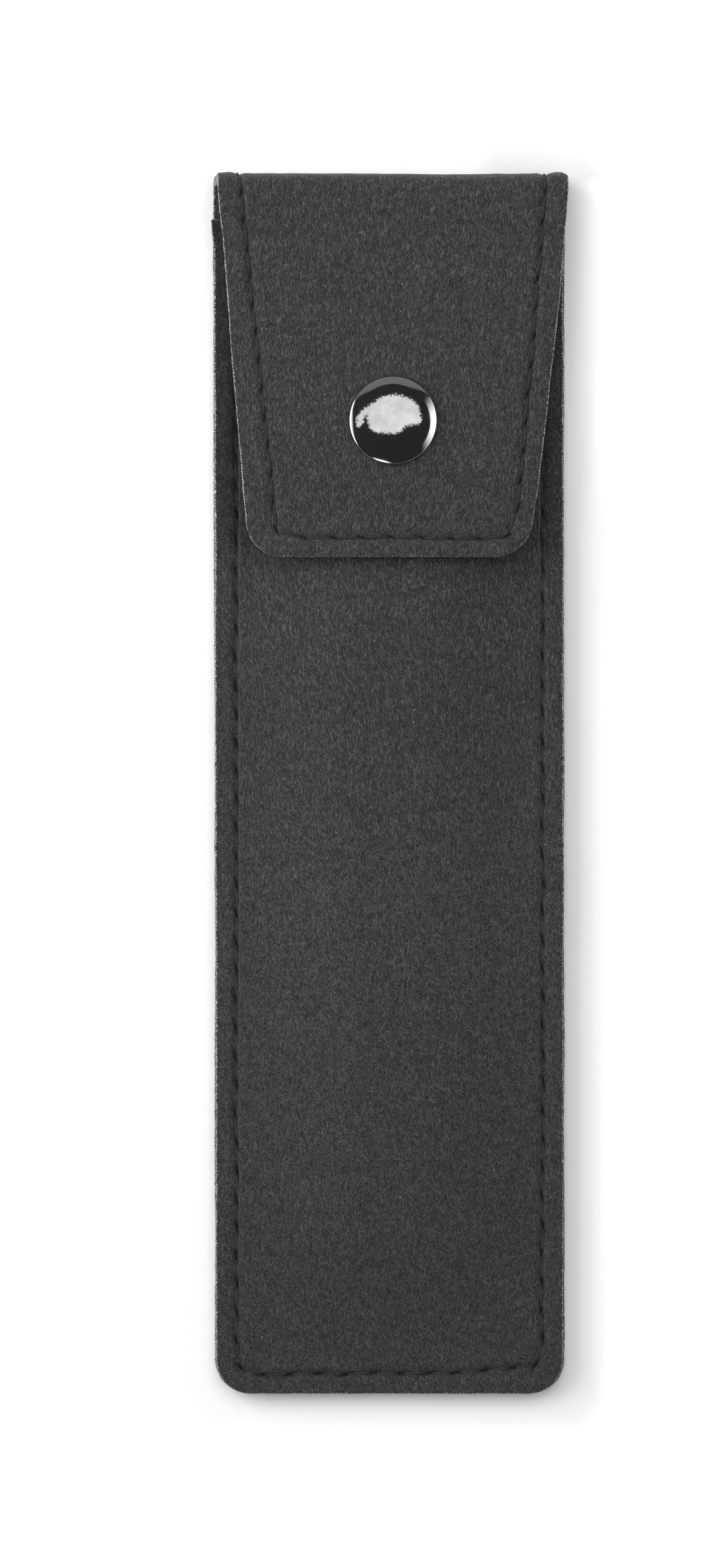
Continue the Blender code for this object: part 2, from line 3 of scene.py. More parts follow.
import bpy
import numpy as np
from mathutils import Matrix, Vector


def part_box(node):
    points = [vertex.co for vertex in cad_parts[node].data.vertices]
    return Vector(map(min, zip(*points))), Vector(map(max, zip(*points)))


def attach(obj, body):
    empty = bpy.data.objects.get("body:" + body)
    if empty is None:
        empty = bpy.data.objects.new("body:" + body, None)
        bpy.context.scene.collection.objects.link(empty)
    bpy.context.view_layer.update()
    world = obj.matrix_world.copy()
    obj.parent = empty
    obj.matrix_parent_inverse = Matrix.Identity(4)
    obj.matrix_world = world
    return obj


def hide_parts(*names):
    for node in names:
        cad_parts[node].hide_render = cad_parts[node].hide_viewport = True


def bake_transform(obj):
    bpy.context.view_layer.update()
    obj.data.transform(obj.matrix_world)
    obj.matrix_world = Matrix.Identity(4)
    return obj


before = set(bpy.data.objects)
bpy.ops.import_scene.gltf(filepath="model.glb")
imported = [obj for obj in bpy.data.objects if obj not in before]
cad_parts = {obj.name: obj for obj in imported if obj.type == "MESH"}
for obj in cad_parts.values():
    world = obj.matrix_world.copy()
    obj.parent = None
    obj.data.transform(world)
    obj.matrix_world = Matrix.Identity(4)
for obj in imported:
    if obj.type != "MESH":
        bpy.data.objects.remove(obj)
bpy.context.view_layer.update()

MM = 0.001

# Sizes of the case in the frame
BACK_LOW, BACK_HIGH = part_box("back_panel")
FRONT_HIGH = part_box("front_panel")[1]
STRIP_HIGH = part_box("fold_strip")[1]
FLAP_LOW, FLAP_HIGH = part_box("flap")
CAP_LOW, CAP_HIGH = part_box("snap_cap")
FELT = 1.6 * MM
HALF_WIDTH = (BACK_HIGH.x - BACK_LOW.x) / 2
BOTTOM_Y = BACK_LOW.y
FOLD_Y = STRIP_HIGH.y
MOUTH_Y = FRONT_HIGH.y
FLAP_END_Y = FLAP_LOW.y
FLAP_TOP_Z = FLAP_HIGH.z
BEND_RADIUS = 2.8 * MM
BEND_Y = FOLD_Y - BEND_RADIUS
BOTTOM_CORNER = 4.9 * MM
FLAP_CORNER = 4.8 * MM
FLAP_START_HALF = 25.15 * MM
FLAP_END_HALF = 20.15 * MM
LAYER_GAP = 0.06 * MM
CROWN_SINK = 0.3 * MM  # the front felt's crown lies this far under its solid's
SNAP_X = (CAP_LOW.x + CAP_HIGH.x) / 2
SNAP_Y = (CAP_LOW.y + CAP_HIGH.y) / 2
CAP_RADIUS = (CAP_HIGH.x - CAP_LOW.x) / 2
CAP_RIM_Z = FLAP_TOP_Z - 0.05 * MM
STUD_SEAT_Z = FRONT_HIGH.z

# The long felt's stretches, measured along its outside from the bottom edge
BEND_LENGTH = BEND_RADIUS * math.pi / 2
S_BACK = BEND_Y - BOTTOM_Y
S_STRIP = S_BACK + BEND_LENGTH
S_RISE = FLAP_TOP_Z - 2 * BEND_RADIUS
S_MIDDLE = S_STRIP + S_RISE / 2
S_TOP = S_STRIP + S_RISE
S_FLAP = S_TOP + BEND_LENGTH
S_END = S_FLAP + BEND_Y - FLAP_END_Y

# Sewing
STITCH = 4.1 * MM
STITCH_DEPTH = 0.95 * MM
THREAD = 0.17 * MM
SEAM_LEFT = -21.85 * MM
SEAM_RIGHT = 21.95 * MM
SEAM_STRAY = 0.08 * MM
SEAM_GROOVE = 0.24 * MM
SEAM_SWELL = 0.07 * MM
MARK_DEPTH = 0.26 * MM
MARK_LENGTH = 1.15 * MM
MARK_WIDTH = 0.23 * MM
MARK_SLANT = 0.2

# The felts' meshes: rows along them, and the section of a cut side from the shown face to the hidden one
ROW_STEP = 0.31 * MM
FINE_STEP = 0.2 * MM
FINE_REACH = 5.5 * MM
HIDDEN_COLUMNS = 34
CUT_INSET = np.array([0.42, 0.22, 0.08, 0.01, 0.0, 0.01, 0.08, 0.22, 0.42]) * MM
CUT_DEPTH = np.array([0.02, 0.07, 0.19, 0.42, 0.8, 1.18, 1.41, 1.53, 1.58]) * MM
CUT_MARK = np.array([0.35, 0.8, 1, 1, 1, 1, 1, 0.8, 0.35])
CUT_MARK_CRISPER = np.array([0.7, 0.7, 0.2, 0, 0, 0, 0.2, 0.7, 0.7])
EDGE_WAVE = 0.05 * MM

# The felt's fibres, in mm on the flat felt. Strokes and hairs: angle, width, length, seed, whether they
# belong to the fibres that lie every way
STROKES = [
    (1, 0.068, 1.55, 1, False),
    (-10, 0.063, 1.05, 2, False),
    (13, 0.063, 1.05, 3, False),
    (48, 0.060, 0.50, 4, True),
    (-50, 0.060, 0.50, 5, True),
]
HAIRS = [
    (4, 0.24, 1.7, 9, False),
    (-22, 0.26, 1.2, 14, False),
    (40, 0.28, 0.9, 17, True),
    (-62, 0.28, 0.8, 19, True),
]
STROKE_PALE = (0.63, 0.82)
STROKE_DARK = (0.42, 0.24)
HAIR_LINE = (0.055, 0.015)
HAIR_AREA = (0.47, 0.60)
HAIR_AREA_SIZE = (0.28, 1.6)
FIBRE_CURL = 0.27

# The felt's colour: its wool, how many times as light each mark is, and the share that shows
FELT_TONE = 0.0264
DARK_TIMES = 0.45
DARK_SHARE = 0.38
PALE_TIMES = 3.35
HAIR_TIMES = 6.0
HAIR_SHARE = 0.44
# Painted shade towards the bottom end, where less light falls
FALLOFF_SHADE_TIMES = 0.55
# Painted shade on the front felt's left part, under and beside the flap
FLAP_SHADE_TIMES = 0.45
LINT_TONE = 0.32
LINT_RARITY = 0.78
# Needle holes and seam grooves: painted shade, partly the squeezed felt's own darker tone
NEEDLE_SHADE_TONE = 0.004
NEEDLE_SHADE_SHARE = 0.84
CUT_DARK = 0.05
CUT_PALE = 0.93
# Painted light: the right cut edges are made a little paler, as if lit
CUT_PALE_RIGHT_LIT = 0.95
FELT_BUMP = 0.10 * MM
FELT_SHEEN = 0.30

# Light
PAPER_TONES = (0.865, 0.885)
# The floor's least painted glow close to the case, in its shadow
FLOOR_GLOW = 0.03
FILL = 0.37
KEY = 4.4
OVERHEAD = 2.72
SOFTBOX_SIZE = 0.6
DARK_ROOM = 0.04


def lumps(x, y, size, seed):
    """Smooth bumps between -1 and 1, about a size apart."""
    count = 64
    grid = np.random.default_rng(seed).uniform(-1, 1, (count, count))
    gx = x / size + 1000.0
    gy = y / size + 1000.0
    ix = np.floor(gx).astype(int)
    iy = np.floor(gy).astype(int)
    fx = gx - ix
    fy = gy - iy
    fx = fx * fx * (3 - 2 * fx)
    fy = fy * fy * (3 - 2 * fy)
    low = grid[ix % count, iy % count] * (1 - fx) + grid[(ix + 1) % count, iy % count] * fx
    high = grid[ix % count, (iy + 1) % count] * (1 - fx) + grid[(ix + 1) % count, (iy + 1) % count] * fx
    return low * (1 - fy) + high * fy


def ease(value):
    """0 to 1 in a smooth rise."""
    value = np.clip(value, 0.0, 1.0)
    return (1 - np.cos(np.pi * value)) / 2


def on_flap(y):
    """Where a level of the flap lies along the long felt."""
    return S_FLAP + BEND_Y - y


def spaced_holes(line, pitch):
    """Needle holes at each corner of a line, and an even pitch apart between them."""
    holes = [line[0]]
    for a, b in zip(line, line[1:]):
        count = max(1, round(math.dist(a, b) / pitch))
        for k in range(1, count + 1):
            holes.append((a[0] + (b[0] - a[0]) * k / count, a[1] + (b[1] - a[1]) * k / count))
    return np.array(holes)


def strayed(holes, amount, seed):
    """The holes as a hand-guided machine leaves them, a little off the line."""
    stray = np.random.default_rng(seed).normal(0, amount, holes.shape)
    stray[0] = 0
    stray[-1] = 0
    return holes + stray


def seam_marks(x, s, holes, mark_width, mark_length):
    """Distance to the seam's line, and how far each place is inside a needle hole's slanted mark."""
    to_line = np.full(x.shape, 1.0)
    for a, b in zip(holes, holes[1:]):
        way = b - a
        share = ((x - a[0]) * way[0] + (s - a[1]) * way[1]) / (way @ way)
        share = np.clip(share, 0, 1)
        to_line = np.minimum(to_line, np.hypot(x - a[0] - share * way[0], s - a[1] - share * way[1]))
    ahead = np.gradient(holes, axis=0)
    ahead /= np.linalg.norm(ahead, axis=1)[:, None]
    mark = np.zeros(x.shape)
    for hole, way in zip(holes, ahead):
        along = (x - hole[0]) * way[0] + (s - hole[1]) * way[1]
        across = (s - hole[1]) * way[0] - (x - hole[0]) * way[1] - MARK_SLANT * along
        inside = np.exp(-((across / mark_width) ** 2) - (along / mark_length) ** 4)
        mark = np.maximum(mark, inside)
    return to_line, mark


def body_seam_holes():
    """The seam round the pouch, as (across, along), from one end of the fold to the other."""
    line = [
        (SEAM_LEFT, S_MIDDLE),
        (SEAM_LEFT, 7.5 * MM),
        (-21.15 * MM, 3.75 * MM),
        (-18.1 * MM, 2.8 * MM),
        (9.6 * MM, 2.95 * MM),
        (17.7 * MM, 3.7 * MM),
        (20.95 * MM, 3.95 * MM),
        (21.85 * MM, 7.9 * MM),
        (SEAM_RIGHT, S_MIDDLE),
    ]
    return strayed(spaced_holes(line, STITCH), SEAM_STRAY, 3)


def flap_seam_holes():
    """The flap's topstitching, as (across, along), from the middle of the fold and back to it."""
    line = [
        (SEAM_LEFT, S_MIDDLE),
        (-21.1 * MM, S_FLAP),
        (-16.0 * MM, on_flap(36.2 * MM)),
        (-12.2 * MM, on_flap(35.15 * MM)),
        (12.9 * MM, on_flap(35.0 * MM)),
        (16.9 * MM, on_flap(35.4 * MM)),
        (18.3 * MM, on_flap(39.2 * MM)),
        (22.1 * MM, S_FLAP),
        (SEAM_RIGHT, S_MIDDLE),
    ]
    return strayed(spaced_holes(line, STITCH), SEAM_STRAY, 5)


BODY_HOLES = body_seam_holes()
FLAP_HOLES = flap_seam_holes()
MOUTH_HOLES = BODY_HOLES[BODY_HOLES[:, 1] + BOTTOM_Y < MOUTH_Y - 0.3 * MM]


def seam_relief(x, s, holes, pressed):
    """How far the felt is drawn in at a seam, and the shade painted into its needle holes and groove, partly
    the squeezed felt's own darker tone.
    """
    mark_width = MARK_WIDTH * (1.0 + 0.25 * pressed)
    mark_length = MARK_LENGTH * (0.5 + 0.5 * pressed)
    to_line, mark = seam_marks(x, s, holes, mark_width, mark_length)
    groove = SEAM_GROOVE * np.exp(-((to_line / (0.48 * MM)) ** 2))
    swell = SEAM_SWELL * np.exp(-(((to_line - 1.3 * MM) / (0.6 * MM)) ** 2))
    # Painted shade in the needle marks and along the groove, partly the squeezed felt's darker tone
    groove_shade_line = 0.38 * np.exp(-((to_line / (0.20 * MM)) ** 2))
    groove_shade_wide = 0.07 * np.exp(-((to_line / (0.5 * MM)) ** 2))
    shade = (1.2 - 0.35 * pressed) * mark + pressed * (groove_shade_line + groove_shade_wide)
    return groove + MARK_DEPTH * mark - swell, np.clip(shade, 0, 1)


def felt_relief(x, s, seed):
    """The felt's own unevenness."""
    broad = 0.05 * MM * lumps(x, s, 9.0 * MM, seed)
    fine = 0.028 * MM * lumps(x, s, 1.9 * MM, seed + 1)
    return broad + fine + 0.014 * MM * lumps(x, s, 0.8 * MM, seed + 2)


def fold_place(s, n):
    """A point of the long felt in the side view, from its place along the felt and its depth in it."""
    inner = BEND_RADIUS - n
    turn = np.clip((s - S_BACK) / BEND_RADIUS, 0, math.pi / 2)
    y = np.minimum(s, S_BACK) + BOTTOM_Y + inner * np.sin(turn)
    z = BEND_RADIUS - inner * np.cos(turn)
    z = z + np.clip(s - S_STRIP, 0, S_RISE)
    turn = np.clip((s - S_TOP) / BEND_RADIUS, 0, math.pi / 2)
    y = y + inner * (np.cos(turn) - 1)
    z = z + inner * np.sin(turn)
    y = y - np.clip(s - S_FLAP, 0, None)
    return y, z


def flap_droop(x, y):
    """How far the flap sinks at its free sides and end, between the fold and the stud that hold it."""
    side_droop = 1.9 * MM
    end_droop = 1.28 * MM
    wave_height = 0.20 * MM
    wave_length = 8.5 * MM
    held_until = SNAP_Y - 3 * MM
    along = (BEND_Y - y) / (BEND_Y - FLAP_END_Y)
    to_end = ease((held_until - y) / (held_until - FLAP_END_Y))
    sides = side_droop * (np.abs(x) / HALF_WIDTH) ** 2 * ease(along * 1.1)
    wave = wave_height * np.sin(x / wave_length + 0.7) * ease(along * 1.4) * (1 - 0.7 * to_end)
    return np.where(along > 0, sides + end_droop * to_end + wave, 0)


def place_long_felt(x, s, n):
    """Bend the flat long felt into the case's back, fold and flap."""
    outward = 0.16 * MM  # outside the seams the fold stands out
    inward = 0.40 * MM  # and its cut sides draw back
    ripple = 0.07 * MM
    y, z = fold_place(s, n)
    z = z - np.where(s > S_TOP, flap_droop(x, y), 0)
    at_fold = ease((s - S_BACK) / BEND_LENGTH) * ease((S_FLAP + 3 * MM - s) / BEND_LENGTH)
    left_of_seam = ease((-x - 20.6 * MM) / (2.0 * MM))
    right_of_seam = ease((x - 22.6 * MM) / (1.5 * MM))
    at_side = ease((np.abs(x) - 24.4 * MM) / (1.1 * MM))
    moved = outward * (left_of_seam + right_of_seam) - inward * at_side
    y = y + at_fold * (moved + ripple * lumps(x, x * 0, 9 * MM, 31))
    return np.stack([x, y, z], -1)


def puff(x, y):
    """How far the front felt stands above its flat seam."""
    seam = 21.3 * MM
    crown = 2.5 * MM
    foot = 4.0 * MM
    rising = 24.0 * MM
    most_slack = 0.30
    inward = np.clip((seam - np.abs(x)) / (seam - crown), 0, 1)
    sideways = 0.68 * ease(inward) + 0.32 * (1 - (1 - inward) ** 2)
    lengthways = ease((y - BOTTOM_Y - foot) / rising)
    slack = most_slack * ease((SNAP_Y - 12 * MM - y) / (60 * MM))
    return (STUD_SEAT_Z - 2 * FELT - CROWN_SINK) * sideways * lengthways * (1 - slack)


def place_front_felt(x, s, n):
    """Lay the flat front felt over the pocket."""
    y = s + BOTTOM_Y
    step = 0.2 * MM
    rise = puff(x, y)
    slope_x = (puff(x + step, y) - puff(x - step, y)) / (2 * step)
    slope_y = (puff(x, y + step) - puff(x, y - step)) / (2 * step)
    size = np.sqrt(slope_x**2 + slope_y**2 + 1)
    height = FELT - n
    z = FELT + LAYER_GAP + rise + height / size
    return np.stack([x - slope_x * height / size, y - slope_y * height / size, z], -1)


def wavy(s, spacing, fine_spacing, seed, fine_seed):
    """The slight unevenness of a cut side."""
    return EDGE_WAVE * (lumps(s, s * 0, spacing, seed) + 0.6 * lumps(s, s * 0, fine_spacing, fine_seed))


def corner_cut(from_end, radius):
    """How far a round corner takes a side in, at a distance from the end."""
    short = np.clip(radius - from_end, 0, radius)
    return radius - np.sqrt(np.maximum(radius**2 - short**2, 0))


def long_felt_edges(s):
    """The long felt's left and right edge at each place along it."""
    back_left = -24.93 * MM - 0.25 * MM * ease((s - 60 * MM) / (100 * MM))
    back_right = 25.0 * MM
    along = np.clip((s - S_FLAP) / (S_END - S_FLAP), 0, 1)
    bow = np.sin(np.pi * along)
    centre = 0.15 * MM + 0.4 * MM * bow
    half = FLAP_START_HALF + (FLAP_END_HALF - FLAP_START_HALF) * along + 0.18 * MM * bow
    level = BEND_Y - np.clip(s - S_FLAP, 0, None)
    left_in = 0.60 * MM * ease((level - 55 * MM) / (25 * MM))
    right_in = 0.15 * MM + 0.32 * MM * ease((70 * MM - level) / (14 * MM))
    to_flap = ease((s - S_BACK) / (S_FLAP - S_BACK))
    left = back_left + (centre - half + left_in - back_left) * to_flap
    right = back_right + (centre + half - right_in - back_right) * to_flap
    right = right + 0.34 * MM * np.exp(-(((s - S_MIDDLE) / (14 * MM)) ** 2))
    cut = corner_cut(s, BOTTOM_CORNER) + corner_cut(S_END - s, FLAP_CORNER)
    left = left + wavy(s, 11 * MM, 2.3 * MM, 41, 42) + cut
    right = right + wavy(s, 13 * MM, 2.6 * MM, 43, 44) - cut
    return left, right


def front_felt_edges(s):
    """The front felt's left and right edge."""
    at_mouth = ease((s + BOTTOM_Y - MOUTH_Y + 6 * MM) / (6 * MM))
    left = -24.78 * MM - 0.20 * MM * ease((s - 60 * MM) / (100 * MM)) - 0.42 * MM * at_mouth
    right = 24.86 * MM + 0.2 * MM * at_mouth
    cut = corner_cut(s, BOTTOM_CORNER)
    left = left + wavy(s, 12 * MM, 2.1 * MM, 51, 53) + cut
    right = right + wavy(s, 12 * MM, 2.4 * MM, 52, 54) - cut
    return left, right


def closer_columns():
    """Places across a felt's face from -1 to 1, closest together where the seams run."""
    beside = np.linspace(0.93, 1.0, 8)
    seam = np.linspace(0.76, 0.93, 28)
    middle = np.linspace(-0.76, 0.76, 44)[1:-1]
    return np.concatenate([-beside[:0:-1], -seam[::-1], middle, seam, beside[1:]])


def closer_rows(start, end, fine_start, fine_end):
    """Places along a felt, closer together near an end that is cut to shape."""
    low = start + FINE_REACH if fine_start else start
    high = end - FINE_REACH if fine_end else end
    count = round((high - low) / ROW_STEP)
    rows = [np.arange(start, low, FINE_STEP)] if fine_start else []
    rows.append(np.linspace(low, high, count + 1))
    if fine_end:
        rows.append(np.arange(high + FINE_STEP, end, FINE_STEP))
        rows.append(np.array([end]))
    return np.concatenate(rows)


def make_mesh(name, points, faces, material, attributes=None):
    mesh = bpy.data.meshes.new(name)
    mesh.from_pydata(points.tolist(), [], faces)
    mesh.materials.append(material)
    mesh.shade_smooth()
    for title, values in (attributes or {}).items():
        kind = "FLOAT_VECTOR" if values.ndim == 2 else "FLOAT"
        field = "vector" if values.ndim == 2 else "value"
        layer = mesh.attributes.new(title, kind, "POINT")
        layer.data.foreach_set(field, np.ascontiguousarray(values, dtype=np.float32).ravel())
    mesh.update()
    item = bpy.data.objects.new(name, mesh)
    bpy.context.scene.collection.objects.link(item)
    return item


def rounded_ends(rows, ends, rounding):
    """Places along a felt, and the share of its thickness there, with its cut ends rounded off."""
    cut_steps = [(0.50, 0.0), (0.72, 0.01)]
    cut_steps += [(share, back * rounding) for share, back in ((0.87, 0.07), (0.95, 0.18), (0.99, 0.34))]
    whole = [(1.0, 0.0)]
    first = cut_steps if ends[0] else whole
    last = cut_steps[::-1] if ends[1] else whole
    clear = 0.08 * MM
    low = rows[0] + first[-1][1] * MM + clear * ends[0]
    high = rows[-1] - last[0][1] * MM - clear * ends[1]
    between = [s for s in rows if low < s < high]
    along = [rows[0] + back * MM for _, back in first] + between + [rows[-1] - back * MM for _, back in last]
    shares = [share for share, _ in first] + [1.0] * len(between) + [share for share, _ in last]
    return np.array(along), np.array(shares)


def felt_piece(name, rows, ends, edges, holes, pressed, place, seed, material, rounding):
    """A felt sheet with cut, rounded sides. ends says whether its first and last rows are cut ends."""
    columns = closer_columns()
    hidden = np.linspace(-1, 1, HIDDEN_COLUMNS)
    inset = CUT_INSET * rounding
    turns = np.cumsum([0, len(columns), len(inset), len(hidden), len(inset)])
    along, thickness = rounded_ends(rows, ends, rounding)
    left, right = edges(along)
    middle = (left + right) / 2
    reach = (right - left) / 2 - inset[0] - 0.05 * MM
    stretches = [
        middle[:, None] + columns * reach[:, None],
        right[:, None] - inset,
        middle[:, None] + hidden[::-1] * reach[:, None],
        left[:, None] + inset[::-1],
    ]
    x = np.concatenate(stretches, 1)
    s = np.repeat(along[:, None], turns[-1], 1)
    flat_n = np.concatenate([np.zeros(len(columns)), CUT_DEPTH, np.full(len(hidden), FELT), CUT_DEPTH[::-1]])
    shown = flat_n < FELT / 2

    side_mark = CUT_MARK - (1 - rounding) * CUT_MARK_CRISPER
    cut_mark = np.zeros(turns[-1])
    cut_mark[turns[1]:turns[2]] = side_mark
    cut_mark[turns[3]:] = side_mark
    end_mark = np.clip((1 - thickness) * 4.5, 0, 1)
    fading = 1 - (1 - rounding) * ease((along - along[-1]) / (9.0 * MM) + 1)

    drawn, shade = seam_relief(x, s, holes, pressed)
    rough = np.where(shown, felt_relief(x, s, seed), -felt_relief(x, s, seed + 7))
    n = flat_n + np.where(shown, drawn, -drawn) * (1 - cut_mark) + rough
    n = FELT / 2 + (n - FELT / 2) * thickness[:, None]
    ragged = 0.045 * MM * lumps(s, n * 3, 0.6 * MM, seed + 11)
    ragged = ragged + 0.04 * MM * lumps(s, n * 3, 1.5 * MM, seed + 12)
    x = x + ragged * np.where(x > middle[:, None], 1, -1) * cut_mark
    s = s + 0.05 * MM * lumps(x, n * 3, 0.7 * MM, seed + 13) * end_mark[:, None]

    index = np.arange(x.size).reshape(x.shape)
    after = np.roll(index, -1, 1)
    faces = np.stack([index[:-1], index[1:], after[1:], after[:-1]], -1).reshape(-1, 4).tolist()
    faces += end_faces(index[0], turns, columns, hidden)
    faces += [face[::-1] for face in end_faces(index[-1], turns, columns, hidden)]
    marks = {
        "felt_place": np.stack([x / MM, s / MM, n / MM], -1).reshape(-1, 3),
        "cut_edge": (np.maximum(cut_mark, end_mark[:, None]) * fading[:, None]).reshape(-1),
        # painted shade of the needle holes and seam groove, for the felt's colour
        "needle_shade": (shade * shown).reshape(-1),
    }
    item = make_mesh(name, place(x, s, n).reshape(-1, 3), faces, material, marks)
    item.data.set_sharp_from_angle(angle=math.radians(62))
    return item


def end_faces(ring, turns, columns, hidden):
    """Small faces that close an end of a sheet, from its hidden face to its shown face."""
    faces = []
    ring = ring.tolist()
    shown = ring[:turns[1]]
    under = ring[turns[2]:turns[3]][::-1]
    start = 0
    for k in range(len(hidden) - 1):
        stop = len(columns) - 1 if k == len(hidden) - 2 else int(np.argmin(np.abs(columns - hidden[k + 1])))
        faces.append(shown[start:stop + 1] + [under[k + 1], under[k]])
        start = stop
    faces.append([shown[-1]] + ring[turns[1]:turns[2]] + [under[-1]])
    faces.append([under[0]] + ring[turns[3]:turns[4]] + [shown[0]])
    return faces


def turned(name, profile, centre, steps, material):
    """A piece turned on an upright axis. Its profile of (radius, height) starts and ends on the axis."""
    ring = [(r, z) for r, z in profile if r > 0]
    top = profile[0][1]
    bottom = profile[-1][1]
    angles = np.linspace(0, 2 * math.pi, steps, endpoint=False)
    points = [(centre[0], centre[1], top)]
    for r, z in ring:
        points += [(centre[0] + r * math.cos(a), centre[1] + r * math.sin(a), z) for a in angles]
    points.append((centre[0], centre[1], bottom))
    faces = []
    for i in range(steps):
        after = (i + 1) % steps
        faces.append((0, 1 + i, 1 + after))
        for k in range(len(ring) - 1):
            low = 1 + k * steps
            faces.append((low + i, low + steps + i, low + steps + after, low + after))
        low = 1 + (len(ring) - 1) * steps
        faces.append((low + i, len(points) - 1, low + after))
    return make_mesh(name, np.array(points), faces, material)


def arc(centre, radius, start, end, steps):
    """Points on an arc from one angle to another."""
    angles = np.linspace(start, end, steps + 1)
    return [(centre[0] + radius * math.cos(a), centre[1] + radius * math.sin(a)) for a in angles]


def make_cap(material):
    """The stud's pressed dome with its rolled rim and the rivet that goes down into the socket."""
    height = CAP_HIGH.z - CAP_RIM_Z
    hem = 0.45 * MM
    wall = 0.5 * MM
    hem_x = CAP_RADIUS - hem
    rise = height - hem
    ball = (hem_x**2 + rise**2 - hem**2) / (2 * (rise - hem))
    ball_z = height - ball
    tangent = math.atan2(hem - ball_z, hem_x)
    inner = math.acos((hem_x - hem) / (ball - wall))
    rivet = 1.4 * MM
    root = math.acos((rivet + wall) / (ball - wall))
    profile = arc((0.0, ball_z), ball, math.pi / 2, tangent, 36)
    profile += arc((hem_x, hem), hem, tangent, math.radians(-120), 22)[1:]
    under = arc((0.0, ball_z), ball - wall, inner, root, 10)
    profile += under
    ceiling = under[-1][1]
    foot = CAP_LOW.z - CAP_RIM_Z
    lip = rivet + 0.6 * MM
    profile += [
        (rivet, ceiling), (rivet, foot + 0.3 * MM), (lip - 0.05 * MM, foot + 0.3 * MM),
        (lip, foot + 0.2 * MM), (lip, foot + 0.05 * MM), (lip - 0.1 * MM, foot),
        (rivet - 0.2 * MM, foot), (rivet - 0.45 * MM, foot + 0.3 * MM),
        (rivet - 0.45 * MM, ceiling - wall), (0.0, ceiling - wall),
    ]
    profile = [(max(r, 0.0), z + CAP_RIM_Z) for r, z in profile]
    profile[0] = (0.0, profile[0][1])
    return turned("snap_cap_dome", profile, (SNAP_X, SNAP_Y), 128, material)


def stitch_row(name, holes, place, hidden_face, crest, material, seed):
    """A tube of twisted thread for each stitch, down into the needle holes at its ends."""
    rng = np.random.default_rng(seed)
    sides = 10
    rings = 15
    flatness = 0.9
    plies = 3
    ply_height = 0.10
    twist = 11.0
    turn = np.linspace(0, 2 * math.pi, sides, endpoint=False)
    t = np.linspace(0, 1, rings)
    from_middle = np.abs(2 * t - 1)
    points = []
    faces = []
    thread_place = []
    for a, b in zip(holes, holes[1:]):
        way = (b - a) / np.linalg.norm(b - a)
        side = np.array([-way[1], way[0]])
        bow = rng.normal(0, 0.05 * MM)
        slant = rng.normal(0.10 * MM, 0.04 * MM)
        top = crest + rng.normal(0, 0.03 * MM)
        offset = bow * np.sin(np.pi * t) + slant * (2 * t - 1) * from_middle**2
        line = a + (b - a) * (0.02 + 0.96 * t[:, None]) + side * offset[:, None]
        depth = top + (STITCH_DEPTH - top) * from_middle**3.4
        n = FELT - depth if hidden_face else depth
        centre = place(line[:, 0], line[:, 1], n)
        ahead = np.gradient(centre, axis=0)
        ahead /= np.linalg.norm(ahead, axis=1)[:, None]
        deeper = place(line[:, 0], line[:, 1], n + 0.01 * MM) - centre
        across = np.cross(ahead, deeper)
        across /= np.linalg.norm(across, axis=1)[:, None]
        up = np.cross(across, ahead)
        start = len(points)
        phase = rng.uniform(0, 6.28)
        for k in range(rings):
            radius = THREAD * (1 + ply_height * np.cos(plies * (turn - twist * t[k]) + phase))
            sideways = across[k] * (radius * np.cos(turn))[:, None]
            upwards = up[k] * (radius * flatness * np.sin(turn))[:, None]
            points += (centre[k] + sideways + upwards).tolist()
            thread_place += [(t[k] * STITCH / MM, angle, 0.0) for angle in turn]
        for k in range(rings - 1):
            for i in range(sides):
                after = (i + 1) % sides
                low = start + k * sides
                faces.append((low + i, low + after, low + sides + after, low + sides + i))
        faces.append(tuple(start + i for i in range(sides))[::-1])
        faces.append(tuple(start + (rings - 1) * sides + i for i in range(sides)))
    item = make_mesh(name, np.array(points), faces, material, {"thread_place": np.array(thread_place)})
    item.data.set_sharp_from_angle(angle=math.radians(70))
    return item


def add_node(tree, kind, values=None, **settings):
    """A node of a kind, with its settings and the values of its inputs, laid out in order."""
    node = tree.nodes.new("ShaderNode" + kind)
    column, row = divmod(len(tree.nodes), 6)
    node.location = (220 * column, -260 * row)
    for title, value in settings.items():
        setattr(node, title, value)
    for socket, value in (values or {}).items():
        node.inputs[socket].default_value = value
    return node


def math_node(tree, operation, first, second):
    """A Math node whose inputs are numbers or sockets."""
    node = add_node(tree, "Math", operation=operation)
    for slot, value in enumerate((first, second)):
        if isinstance(value, (int, float)):
            node.inputs[slot].default_value = value
        else:
            tree.links.new(value, node.inputs[slot])
    return node.outputs[0]


def vector_node(tree, operation, first, second=None):
    """A Vector Math node whose inputs are sockets or, for the second, three numbers."""
    node = add_node(tree, "VectorMath", operation=operation)
    tree.links.new(first, node.inputs[0])
    if isinstance(second, tuple):
        node.inputs[1].default_value = second
    elif second:
        tree.links.new(second, node.inputs[1])
    return node.outputs["Value" if operation == "LENGTH" else "Vector"]


def times(tree, first, second):
    return math_node(tree, "MULTIPLY", first, second)


def scaled_vector(tree, vector, scale):
    node = add_node(tree, "VectorMath", operation="SCALE")
    tree.links.new(vector, node.inputs[0])
    tree.links.new(scale, node.inputs["Scale"])
    return node.outputs["Vector"]


def noise_node(tree, vector, scale, detail, roughness=0.5):
    node = add_node(tree, "TexNoise", {"Scale": scale, "Detail": detail, "Roughness": roughness})
    tree.links.new(vector, node.inputs["Vector"])
    return node.outputs


def parts_of(tree, vector):
    node = add_node(tree, "SeparateXYZ")
    tree.links.new(vector, node.inputs[0])
    return node.outputs


